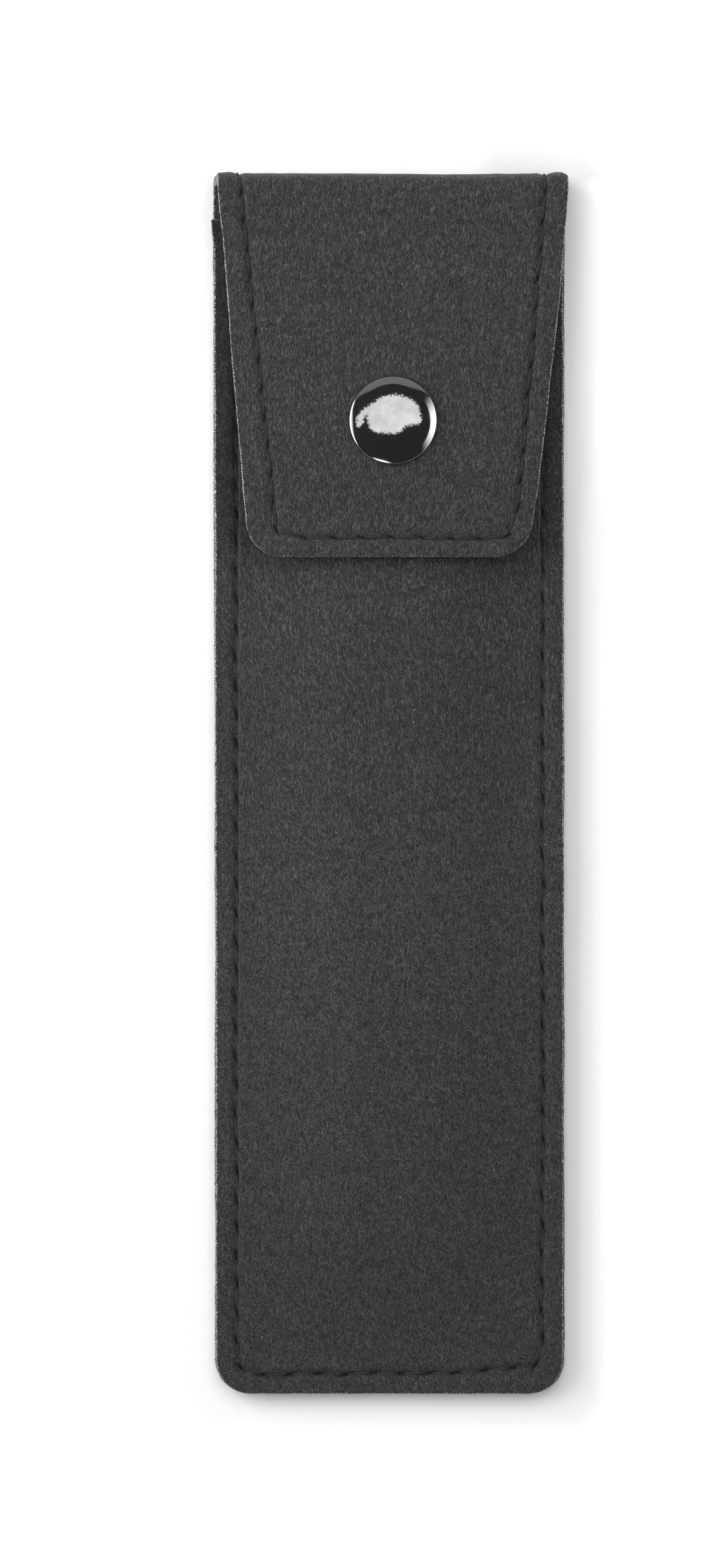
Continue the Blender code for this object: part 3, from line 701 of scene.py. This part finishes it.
def mesh_field(tree, name):
    """What the mesh carries under a name."""
    return add_node(tree, "Attribute", attribute_type="GEOMETRY", attribute_name=name).outputs


def grey(value):
    return (value, value, value, 1.0)


def remap(tree, value, low, high, to_low=0.0, to_high=1.0):
    """A smooth step from one range to another."""
    node = add_node(tree, "MapRange", interpolation_type="SMOOTHSTEP")
    tree.links.new(value, node.inputs["Value"])
    for title, number in (("From Min", low), ("From Max", high), ("To Min", to_low), ("To Max", to_high)):
        node.inputs[title].default_value = number
    return node.outputs["Result"]


def mix_colour(tree, share, first, second):
    """A colour between two, each a colour or a socket."""
    node = add_node(tree, "Mix", data_type="RGBA")
    for slot, value in ((0, share), (6, first), (7, second)):
        if isinstance(value, tuple):
            node.inputs[slot].default_value = value
        else:
            tree.links.new(value, node.inputs[slot])
    return node.outputs[2]


def bumped(tree, height, strength, distance):
    """A normal that follows a height."""
    bump = add_node(tree, "Bump", {"Strength": strength, "Distance": distance})
    tree.links.new(height, bump.inputs["Height"])
    return bump.outputs["Normal"]


def new_material(name):
    """A material with its node tree and its shader."""
    material = bpy.data.materials.new(name)
    material.use_nodes = True
    tree = material.node_tree
    return material, tree, tree.nodes["Principled BSDF"]


def finish_shader(tree, shader, colour, **settings):
    """Link the colour and set what is constant, by the shader's own names with _ for a space."""
    tree.links.new(colour, shader.inputs["Base Color"])
    for title, value in settings.items():
        shader.inputs[title.replace("_", " ")].default_value = value


def new_group(name, inputs, outputs):
    """A shader node group with named inputs and outputs."""
    tree = bpy.data.node_groups.new(name, "ShaderNodeTree")
    for title, kind, value in inputs:
        socket = tree.interface.new_socket(title, in_out="INPUT", socket_type=kind)
        if value is not None:
            socket.default_value = value
    for title, kind in outputs:
        tree.interface.new_socket(title, in_out="OUTPUT", socket_type=kind)
    entry = tree.nodes.new("NodeGroupInput")
    leaving = tree.nodes.new("NodeGroupOutput")
    return tree, entry, leaving


def fibre_layer(tree, curled, angle, width, length, seed):
    """Streaks of one direction: a noise that is stretched along it."""
    seed_steps = (3.7, 5.1, 2.3)
    turn = add_node(tree, "VectorRotate", {"Angle": math.radians(angle)}, rotation_type="Z_AXIS")
    tree.links.new(curled, turn.inputs["Vector"])
    stretched = vector_node(tree, "MULTIPLY", turn.outputs[0], (1 / width, 1 / length, 1 / width))
    moved = vector_node(tree, "ADD", stretched, tuple(seed * step for step in seed_steps))
    return noise_node(tree, moved, 1.0, 0.0)["Fac"]


def strongest(tree, values):
    """The greatest of several values."""
    most = values[0]
    for value in values[1:]:
        most = math_node(tree, "MAXIMUM", most, value)
    return most


def make_fibre_group():
    """Matted fibres: curled strokes that lie lengthways or every way, and fine hairs."""
    tree, entry, leaving = new_group(
        "matted_fibres",
        [
            ("Place", "NodeSocketVector", None),
            ("Curl", "NodeSocketFloat", 0.25),
            ("Every Way", "NodeSocketFloat", 0.5),
        ],
        [(title, "NodeSocketFloat") for title in ("Pale", "Dark", "Hairs", "Height")],
    )
    bend = noise_node(tree, entry.outputs["Place"], 1.0, 1.0)
    centred = vector_node(tree, "SUBTRACT", bend["Color"], (0.5, 0.5, 0.5))
    sized = scaled_vector(tree, centred, entry.outputs["Curl"])
    curled = vector_node(tree, "ADD", entry.outputs["Place"], sized)

    def if_every_way(value, every_way):
        return times(tree, value, entry.outputs["Every Way"]) if every_way else value

    values, pale, dark, hairs = [], [], [], []
    for angle, width, length, seed, every_way in STROKES:
        value = fibre_layer(tree, curled, angle, width, length, seed)
        values.append(value)
        pale.append(if_every_way(remap(tree, value, *STROKE_PALE), every_way))
        dark.append(if_every_way(remap(tree, value, *STROKE_DARK), every_way))
    for angle, width, length, seed, every_way in HAIRS:
        loose = fibre_layer(tree, curled, angle, width, length, seed)
        area = fibre_layer(tree, curled, angle, *HAIR_AREA_SIZE, seed + 20)
        middle = math_node(tree, "SUBTRACT", loose, 0.5)
        off_line = math_node(tree, "ABSOLUTE", middle, 0.0)
        hair = remap(tree, off_line, *HAIR_LINE)
        shown = remap(tree, area, *HAIR_AREA)
        hairs.append(if_every_way(times(tree, hair, shown), every_way))
    for title, mark in (("Pale", pale), ("Dark", dark), ("Hairs", hairs), ("Height", [values[0], values[3]])):
        tree.links.new(strongest(tree, mark), leaving.inputs[title])
    return tree


def wool_colour(tree, where, place, layer):
    """Charcoal wool with its fibres, a few specks of lint, and painted shade towards the bottom end, where
    the light falls off.
    """
    patch = noise_node(tree, place, 0.22, 3.0, 0.6)
    patchy = remap(tree, patch["Fac"], 0.3, 0.7)
    base = mix_colour(tree, patchy, grey(FELT_TONE * 0.96), grey(FELT_TONE * 1.04))
    dark_share = times(tree, layer.outputs["Dark"], DARK_SHARE)
    darker = mix_colour(tree, dark_share, base, grey(FELT_TONE * DARK_TIMES))
    paler = mix_colour(tree, layer.outputs["Pale"], darker, grey(FELT_TONE * PALE_TIMES))
    hair_share = times(tree, layer.outputs["Hairs"], HAIR_SHARE)
    hairy = mix_colour(tree, hair_share, paler, grey(FELT_TONE * HAIR_TIMES))
    # Painted shade: darker towards the bottom end, as the light falls off there
    painted_falloff_shade = remap(tree, where["Y"], 140.0, 10.0, 0.0, 0.33)
    return mix_colour(tree, painted_falloff_shade, hairy, grey(FELT_TONE * FALLOFF_SHADE_TIMES))


def lint_specks(tree, place):
    """1 at a few small specks."""
    lint = add_node(tree, "TexVoronoi", {"Scale": 0.55, "Randomness": 1.0})
    tree.links.new(place, lint.inputs["Vector"])
    chosen = parts_of(tree, lint.outputs["Color"])["X"]
    few = math_node(tree, "GREATER_THAN", chosen, LINT_RARITY)
    near = remap(tree, lint.outputs["Distance"], 0.055, 0.025)
    return times(tree, few, near)


def cut_edge_share(tree, where, place, edge):
    """How much of the pale cut edge shows: it frays unevenly, and less towards the bottom."""
    torn = noise_node(tree, place, 4.5, 1.0)
    torn_by = remap(tree, torn["Fac"], 0.3, 0.7, -0.45, 0.45)
    frayed = math_node(tree, "ADD", edge["Fac"], torn_by)
    share = remap(tree, frayed, 0.35, 0.85)
    paler_higher = remap(tree, where["Y"], 40.0, 125.0, 0.75, 1.0)
    return times(tree, share, paler_higher)


def make_felt(name, fibres, every_way_from, every_way_to, flap_shade_share=0.0):
    """Felt with a pale fibrous cut edge. The front felt has painted shade on its left part, under and beside
    the flap.
    """
    material, tree, shader = new_material(name)
    place = mesh_field(tree, "felt_place")["Vector"]
    edge = mesh_field(tree, "cut_edge")
    needle = mesh_field(tree, "needle_shade")
    where = parts_of(tree, place)
    every_way = remap(tree, where["Y"], every_way_from, every_way_to, 0.30, 1.0)
    layer = add_node(tree, "Group")
    layer.node_tree = fibres
    layer.inputs["Curl"].default_value = FIBRE_CURL
    tree.links.new(place, layer.inputs["Place"])
    tree.links.new(every_way, layer.inputs["Every Way"])
    wool = wool_colour(tree, where, place, layer)
    if flap_shade_share:
        # Painted shade: the front felt is darker at its left part under and beside the flap
        painted_flap_shade = remap(tree, where["Y"], 116.0, 124.0, 0.0, flap_shade_share)
        leftward = remap(tree, where["X"], -12.0, -20.0)
        painted_flap_shade = times(tree, painted_flap_shade, leftward)
        wool = mix_colour(tree, painted_flap_shade, wool, grey(FELT_TONE * FLAP_SHADE_TIMES))
    linted = mix_colour(tree, lint_specks(tree, place), wool, grey(LINT_TONE))

    crumb = noise_node(tree, place, 6.0, 1.0, 0.6)
    crumbs = remap(tree, crumb["Fac"], 0.42, 0.66)
    # Painted light: the cut edges on the right are made paler
    painted_light_rightward = remap(tree, where["X"], -10.0, 10.0)
    palest = mix_colour(tree, painted_light_rightward, grey(CUT_PALE), grey(CUT_PALE_RIGHT_LIT))
    cut = mix_colour(tree, crumbs, grey(CUT_DARK), palest)
    edged = mix_colour(tree, cut_edge_share(tree, where, place, edge), linted, cut)

    # Painted shade in the needle holes and seam groove
    painted_needle_shade = times(tree, needle["Fac"], NEEDLE_SHADE_SHARE)
    if flap_shade_share:
        # Less painted needle shade high up under and beside the flap
        needle_shade_kept = remap(tree, where["Y"], 134.0, 126.0, 0.25, 1.0)
        painted_needle_shade = times(tree, painted_needle_shade, needle_shade_kept)
    finished = mix_colour(tree, painted_needle_shade, edged, grey(NEEDLE_SHADE_TONE))
    edge_height = times(tree, crumbs, edge["Fac"])
    height = math_node(tree, "ADD", layer.outputs["Height"], edge_height)
    tree.links.new(bumped(tree, height, 1.0, FELT_BUMP), shader.inputs["Normal"])
    finish_shader(
        tree, shader, finished,
        Roughness=0.95, Specular_IOR_Level=0.05, Sheen_Weight=FELT_SHEEN, Sheen_Roughness=0.35,
    )
    return material


def make_thread():
    """Black sewing thread, paler along its plies."""
    material, tree, shader = new_material("black_thread")
    place = mesh_field(tree, "thread_place")["Vector"]
    noise = noise_node(tree, place, 6.0, 3.0, 0.7)
    share = remap(tree, noise["Fac"], 0.3, 0.75)
    colour = mix_colour(tree, share, grey(0.012), grey(0.052))
    tree.links.new(bumped(tree, noise["Fac"], 0.4, 0.03 * MM), shader.inputs["Normal"])
    finish_shader(tree, shader, colour, Roughness=0.62, Specular_IOR_Level=0.12)
    return material


def make_handling_group():
    """Marks of making and handling: a faint ripple and fine specks."""
    tree, entry, leaving = new_group(
        "handling_marks",
        [("Place", "NodeSocketVector", None), ("Size", "NodeSocketFloat", 1.0)],
        [("Ripple", "NodeSocketFloat"), ("Specks", "NodeSocketFloat")],
    )
    scaled = scaled_vector(tree, entry.outputs["Place"], entry.outputs["Size"])
    ripple = noise_node(tree, scaled, 700.0, 2.0)
    specks = noise_node(tree, scaled, 5200.0, 2.0, 0.6)
    mark = remap(tree, specks["Fac"], 0.66, 0.78)
    tree.links.new(ripple["Fac"], leaving.inputs["Ripple"])
    tree.links.new(mark, leaving.inputs["Specks"])
    return tree


def make_metal(name, marks, colour, speck_colour, roughness, bump_height, **settings):
    """A plated or lacquered metal with handling marks. Its roughness is a range."""
    material, tree, shader = new_material(name)
    place = add_node(tree, "TexCoord")
    layer = add_node(tree, "Group")
    layer.node_tree = marks
    tree.links.new(place.outputs["Object"], layer.inputs["Place"])
    mixed = mix_colour(tree, layer.outputs["Specks"], colour, speck_colour)
    rough = remap(tree, layer.outputs["Ripple"], 0.3, 0.7, *roughness)
    tree.links.new(rough, shader.inputs["Roughness"])
    normal = bumped(tree, layer.outputs["Ripple"], 0.3, bump_height)
    tree.links.new(normal, shader.inputs["Normal"])
    finish_shader(tree, shader, mixed, **settings)
    return material


def make_white_paper():
    """The white floor, which cameras and shiny surfaces see as plain white away from the case, with painted
    light close to the case that lightens its shadow.
    """
    white_from = 0.115
    white_to = 0.30
    material, tree, shader = new_material("white_paper")
    place = add_node(tree, "TexCoord").outputs["Object"]
    grain = noise_node(tree, place, 900.0, 2.0)
    dark, pale = PAPER_TONES
    colour = mix_colour(tree, grain["Fac"], grey(dark), grey(pale))
    away = vector_node(tree, "LENGTH", place)
    far = remap(tree, away, white_from, white_to)
    level = math_node(tree, "MAXIMUM", far, near_glow(tree, place))
    glow = times(tree, seen_directly(tree), level)
    tree.links.new(glow, shader.inputs["Emission Strength"])
    finish_shader(
        tree, shader, colour, Roughness=0.9, Specular_IOR_Level=0.0, Emission_Color=(1, 1, 1, 1)
    )
    return material


def near_glow(tree, place):
    """Painted light on the floor close to the case: a glow that lightens the case's shadow, keeps it narrow
    beside the tall fold, and lightens it above the fold's left part.
    """
    outside = from_case(tree, place)
    spot = parts_of(tree, place)
    beside_body = remap(tree, outside, 3 * MM, 12 * MM, FLOOR_GLOW, 0.45)
    beside_fold = remap(tree, outside, 0.3 * MM, 6 * MM, FLOOR_GLOW, 0.42)
    upper = remap(tree, spot["Y"], 15 * MM, 60 * MM)
    lower = remap(tree, spot["Y"], FOLD_Y - 2 * MM, FOLD_Y + 1 * MM, 1.0, 0.0)
    beyond = remap(tree, spot["Y"], FOLD_Y - 0.2 * MM, FOLD_Y + 0.3 * MM, 0.0, 0.14)
    left_part = remap(tree, spot["X"], 11 * MM, 17 * MM, 1.0, 0.0)
    strip = times(tree, upper, lower)
    fold_side = times(tree, beside_fold, strip)
    fold_top = times(tree, beyond, left_part)
    return strongest(tree, [beside_body, fold_side, fold_top])


def from_case(tree, place):
    """How far a place of the floor lies outside the closed case's outline."""
    apart = vector_node(tree, "ABSOLUTE", place)
    past = vector_node(tree, "SUBTRACT", apart, (HALF_WIDTH, FOLD_Y, 0.0))
    outside = vector_node(tree, "MAXIMUM", past, (0.0, 0.0, 0.0))
    flat = vector_node(tree, "MULTIPLY", outside, (1.0, 1.0, 0.0))
    return vector_node(tree, "LENGTH", flat)


def seen_directly(tree):
    """1 for rays from the camera, from gloss and through glass."""
    seen = add_node(tree, "LightPath").outputs
    rays = [seen[f"Is {kind} Ray"] for kind in ("Camera", "Glossy", "Transmission")]
    return strongest(tree, rays)


def make_floor():
    bpy.ops.mesh.primitive_plane_add(size=12.0, location=(0, 0, -0.15 * MM))
    floor = bpy.context.active_object
    floor.name = "floor"
    floor.data.materials.append(make_white_paper())


def make_world():
    """Even soft light from all round, and plain white where it is seen."""
    world = bpy.data.worlds.new("studio")
    bpy.context.scene.world = world
    world.use_nodes = True
    tree = world.node_tree
    back = tree.nodes["Background"]
    back.inputs["Color"].default_value = (1, 1, 1, 1)
    seen = seen_directly(tree)
    strength = remap(tree, seen, 0.0, 1.0, FILL, 1.0)
    tree.links.new(strength, back.inputs["Strength"])


def aim(item, target):
    """Turn a lamp so that it shines at a point."""
    way = Vector(target) - item.location
    item.rotation_mode = "QUATERNION"
    item.rotation_quaternion = way.to_track_quat("-Z", "Y")


def hide_from(item, *rays):
    for ray in rays:
        setattr(item, "visible_" + ray, False)


def add_softbox(name, place, power):
    """A square soft light that shines at the case and isn't seen itself."""
    lamp = bpy.data.lights.new(name, "AREA")
    lamp.shape = "RECTANGLE"
    lamp.size = SOFTBOX_SIZE
    lamp.size_y = SOFTBOX_SIZE
    lamp.energy = power
    item = bpy.data.objects.new(name, lamp)
    bpy.context.scene.collection.objects.link(item)
    item.location = place
    aim(item, (0.0, 0.0, 0.0))
    hide_from(item, "camera", "glossy", "transmission")


def card_material(name, level, ragged):
    """A glowing card, brighter or darker as its glow says, with a worn edge where it is ragged."""
    material = bpy.data.materials.new(name)
    material.use_nodes = True
    tree = material.node_tree
    tree.nodes.clear()
    value = mesh_field(tree, "glow")["Fac"]
    if ragged:
        place = add_node(tree, "TexCoord").outputs["Object"]
        worn = noise_node(tree, place, 30.0, 6.0, 0.75)
        cloud = noise_node(tree, place, 3.5, 4.0, 0.7)
        worn_by = remap(tree, worn["Fac"], 0.25, 0.75, -ragged, ragged)
        value = remap(tree, math_node(tree, "ADD", value, worn_by), 0.40, 0.60)
        clouded = remap(tree, cloud["Fac"], 0.35, 0.65, 0.78, 1.0)
        value = times(tree, value, clouded)
    strength = times(tree, value, level)
    strength = math_node(tree, "MAXIMUM", strength, DARK_ROOM)
    lit = add_node(tree, "Emission", {"Color": (1, 1, 1, 1)})
    tree.links.new(strength, lit.inputs["Strength"])
    out = add_node(tree, "OutputMaterial")
    tree.links.new(lit.outputs[0], out.inputs["Surface"])
    return material


def add_card(name, points, glow, level, ragged=0.0):
    """A card of the studio that only shiny surfaces see, as a grid of points with a glow at each."""
    index = np.arange(glow.size).reshape(glow.shape)
    quads = np.stack([index[:-1, :-1], index[:-1, 1:], index[1:, 1:], index[1:, :-1]], -1).reshape(-1, 4)
    material = card_material(name, level, ragged)
    item = make_mesh(name, points.reshape(-1, 3), quads.tolist(), material, {"glow": glow.reshape(-1)})
    hide_from(item, "camera", "diffuse", "shadow", "transmission", "volume_scatter")


def in_direction(azimuth, tilt, distance):
    """Points that the cap sees at compass angles and tilts from straight up, in degrees."""
    a = np.radians(azimuth)
    t = np.radians(tilt)
    x = SNAP_X + distance * np.sin(a) * np.sin(t)
    y = SNAP_Y + distance * np.cos(a) * np.sin(t)
    z = CAP_HIGH.z + distance * np.cos(t)
    return np.stack([x, y, z + 0 * x], -1)


def dome_card(name, azimuths, tilts, distance, level, fade_ends=0.0, fade_inside=0.0, narrowing=0.0):
    """A card as a patch of a dome round the cap."""
    across, up = np.meshgrid(np.linspace(0, 1, 49), np.linspace(0, 1, 17))
    azimuth = azimuths[0] + across * (azimuths[1] - azimuths[0])
    start = tilts[0] + narrowing * (2 * across - 1) ** 2
    tilt = start + up * (tilts[1] - start)
    glow = np.ones(across.shape)
    if fade_ends:
        glow = glow * ease(np.minimum(across, 1 - across) / fade_ends)
    if fade_inside:
        glow = glow * ease(up / fade_inside)
    add_card(name, in_direction(azimuth, tilt, distance), glow, level)


def softbox_glow(x, y):
    """1 inside the overhead light's outline on the cap's dome, in parts of the cap's radius."""
    corners = np.array([
        (-0.84, -0.08), (-0.82, 0.12), (-0.70, 0.27), (-0.56, 0.36), (-0.42, 0.46), (-0.20, 0.57),
        (0.05, 0.61), (0.25, 0.57), (0.42, 0.50), (0.57, 0.38), (0.62, 0.22), (0.66, 0.03),
        (0.60, -0.06), (0.45, -0.06), (0.30, -0.11), (0.18, -0.24), (0.04, -0.28), (-0.20, -0.26),
        (-0.42, -0.24), (-0.54, -0.14), (-0.585, 0.04), (-0.575, 0.20), (-0.65, 0.11), (-0.70, -0.05),
        (-0.79, -0.12),
    ])
    to_edge = np.full(x.shape, 9.0)
    turns = np.zeros(x.shape)
    for a, b in zip(corners, np.roll(corners, -1, 0)):
        way = b - a
        share = np.clip(((x - a[0]) * way[0] + (y - a[1]) * way[1]) / (way @ way), 0, 1)
        to_edge = np.minimum(to_edge, np.hypot(x - a[0] - share * way[0], y - a[1] - share * way[1]))
        first = np.arctan2(y - a[1], x - a[0])
        second = np.arctan2(y - b[1], x - b[0])
        turns += np.arctan2(np.sin(second - first), np.cos(second - first))
    inside = np.where(np.abs(turns) > math.pi, 1, -1)
    softness = 0.16
    return np.clip(0.5 + inside * to_edge / softness, 0, 1)


def make_cards():
    """What the glossy cap mirrors: an overhead light, dark room, window strips at both sides."""
    ball = 13.4 * MM
    azimuth, r = np.meshgrid(np.linspace(-180, 180, 121), np.linspace(0.0001, 0.86, 49))
    tilt = np.degrees(2 * np.arcsin(r * CAP_RADIUS / ball))
    x = r * np.sin(np.radians(azimuth))
    y = r * np.cos(np.radians(azimuth))
    add_card("overhead_light", in_direction(azimuth, tilt, 0.8), softbox_glow(x, y), 2.7, 0.42)
    dome_card("overhead_dark", (-180, 180), (0.01, 120), 1.5, DARK_ROOM)
    dome_card("top_card", (-66, 56), (42, 100), 1.3, 0.46, 0.10, 0.08, 16.0)
    dome_card("left_strip", (-126, -57), (50.3, 110), 1.2, 3.8, 0.12, 0.05, 9.0)
    dome_card("right_strip", (46, 140), (31, 110), 1.35, 3.7, 0.42, 0.25, 20.0)
    dome_card("front_glint", (180, 212), (51, 68), 1.2, 4.4, 0.3, 0.0, 6.0)


def make_camera():
    """Straight above the case, with the photograph's framing."""
    camera = bpy.data.cameras.new("camera")
    item = bpy.data.objects.new("camera", camera)
    bpy.context.scene.collection.objects.link(item)
    bpy.context.scene.camera = item
    image_height = 2576
    pixels_per_metre = 11520
    centre_x = -4.9 * MM
    centre_y = 0.1 * MM
    distance = 1.6
    level = 5.0 * MM
    camera.sensor_width = 36.0
    camera.lens = camera.sensor_width * (distance - level) * pixels_per_metre / image_height
    camera.clip_start = 0.05
    camera.clip_end = 20.0
    item.location = (centre_x, centre_y, distance)


def main():
    fibres = make_fibre_group()
    marks = make_handling_group()
    s_mouth = MOUTH_Y - BOTTOM_Y
    long_felt = make_felt("charcoal_felt", fibres, 190.0, 60.0)
    front_felt = make_felt("charcoal_felt_front", fibres, 110.0, 60.0, 0.40)
    thread = make_thread()
    lacquer = make_metal(
        "black_lacquer", marks, grey(0.009), grey(0.018), (0.035, 0.065), 0.004 * MM,
        IOR=2.2, Specular_IOR_Level=1.0,
    )
    nickel = make_metal(
        "bright_nickel", marks, (0.48, 0.465, 0.44, 1), (0.30, 0.29, 0.28, 1), (0.28, 0.40), 0.01 * MM,
        Metallic=1.0,
    )
    steel = make_metal(
        "spring_wire", marks, (0.34, 0.34, 0.35, 1), (0.22, 0.22, 0.22, 1), (0.4, 0.52), 0.01 * MM,
        Metallic=1.0,
    )

    back = felt_piece(
        "long_felt_back", closer_rows(0.0, S_MIDDLE, True, False), (True, False),
        long_felt_edges, BODY_HOLES, 1.0, place_long_felt, 100, long_felt, 0.6,
    )
    cover = felt_piece(
        "long_felt_flap", closer_rows(S_MIDDLE, S_END, False, True), (False, True),
        long_felt_edges, FLAP_HOLES, 0.45, place_long_felt, 100, long_felt, 0.5,
    )
    front = felt_piece(
        "front_felt", closer_rows(0.0, s_mouth, True, True), (True, True),
        front_felt_edges, MOUTH_HOLES, 1.0, place_front_felt, 200, front_felt, 0.6,
    )
    back_thread = stitch_row(
        "seam_stitches_back", BODY_HOLES, place_long_felt, False, 0.26 * MM, thread, 61
    )
    front_thread = stitch_row(
        "seam_stitches_front", MOUTH_HOLES, place_front_felt, False, 0.32 * MM, thread, 62
    )
    outer_thread = stitch_row(
        "flap_stitches_outer", FLAP_HOLES, place_long_felt, False, 0.13 * MM, thread, 63
    )
    inner_thread = stitch_row(
        "flap_stitches_inner", FLAP_HOLES, place_long_felt, True, 0.13 * MM, thread, 64
    )
    cap = make_cap(lacquer)

    for piece in (back, back_thread):
        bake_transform(piece)
    for piece in (cover, outer_thread, inner_thread):
        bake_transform(piece)
    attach(front, "case")
    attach(front_thread, "case")
    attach(cap, "cover")
    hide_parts("back_panel", "fold_strip")
    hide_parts("flap")
    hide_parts("front_panel")
    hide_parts("seam_thread_back")
    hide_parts("seam_thread_front")
    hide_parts("flap_thread_outer")
    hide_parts("flap_thread_inner")
    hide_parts("snap_cap")
    metals = {
        "snap_socket": nickel,
        "snap_stud": nickel,
        "stud_eyelet": nickel,
        "socket_spring_left": steel,
        "socket_spring_right": steel,
    }
    for name, material in metals.items():
        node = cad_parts[name]
        node.data.materials.clear()
        node.data.materials.append(material)

    make_floor()
    make_world()
    add_softbox("key_softbox", (-0.55, 0.17, 0.43), KEY)
    add_softbox("overhead_softbox", (0.08, 0.24, 0.73), OVERHEAD)
    make_cards()
    make_camera()
    bpy.context.scene.view_settings.view_transform = "Standard"


main()
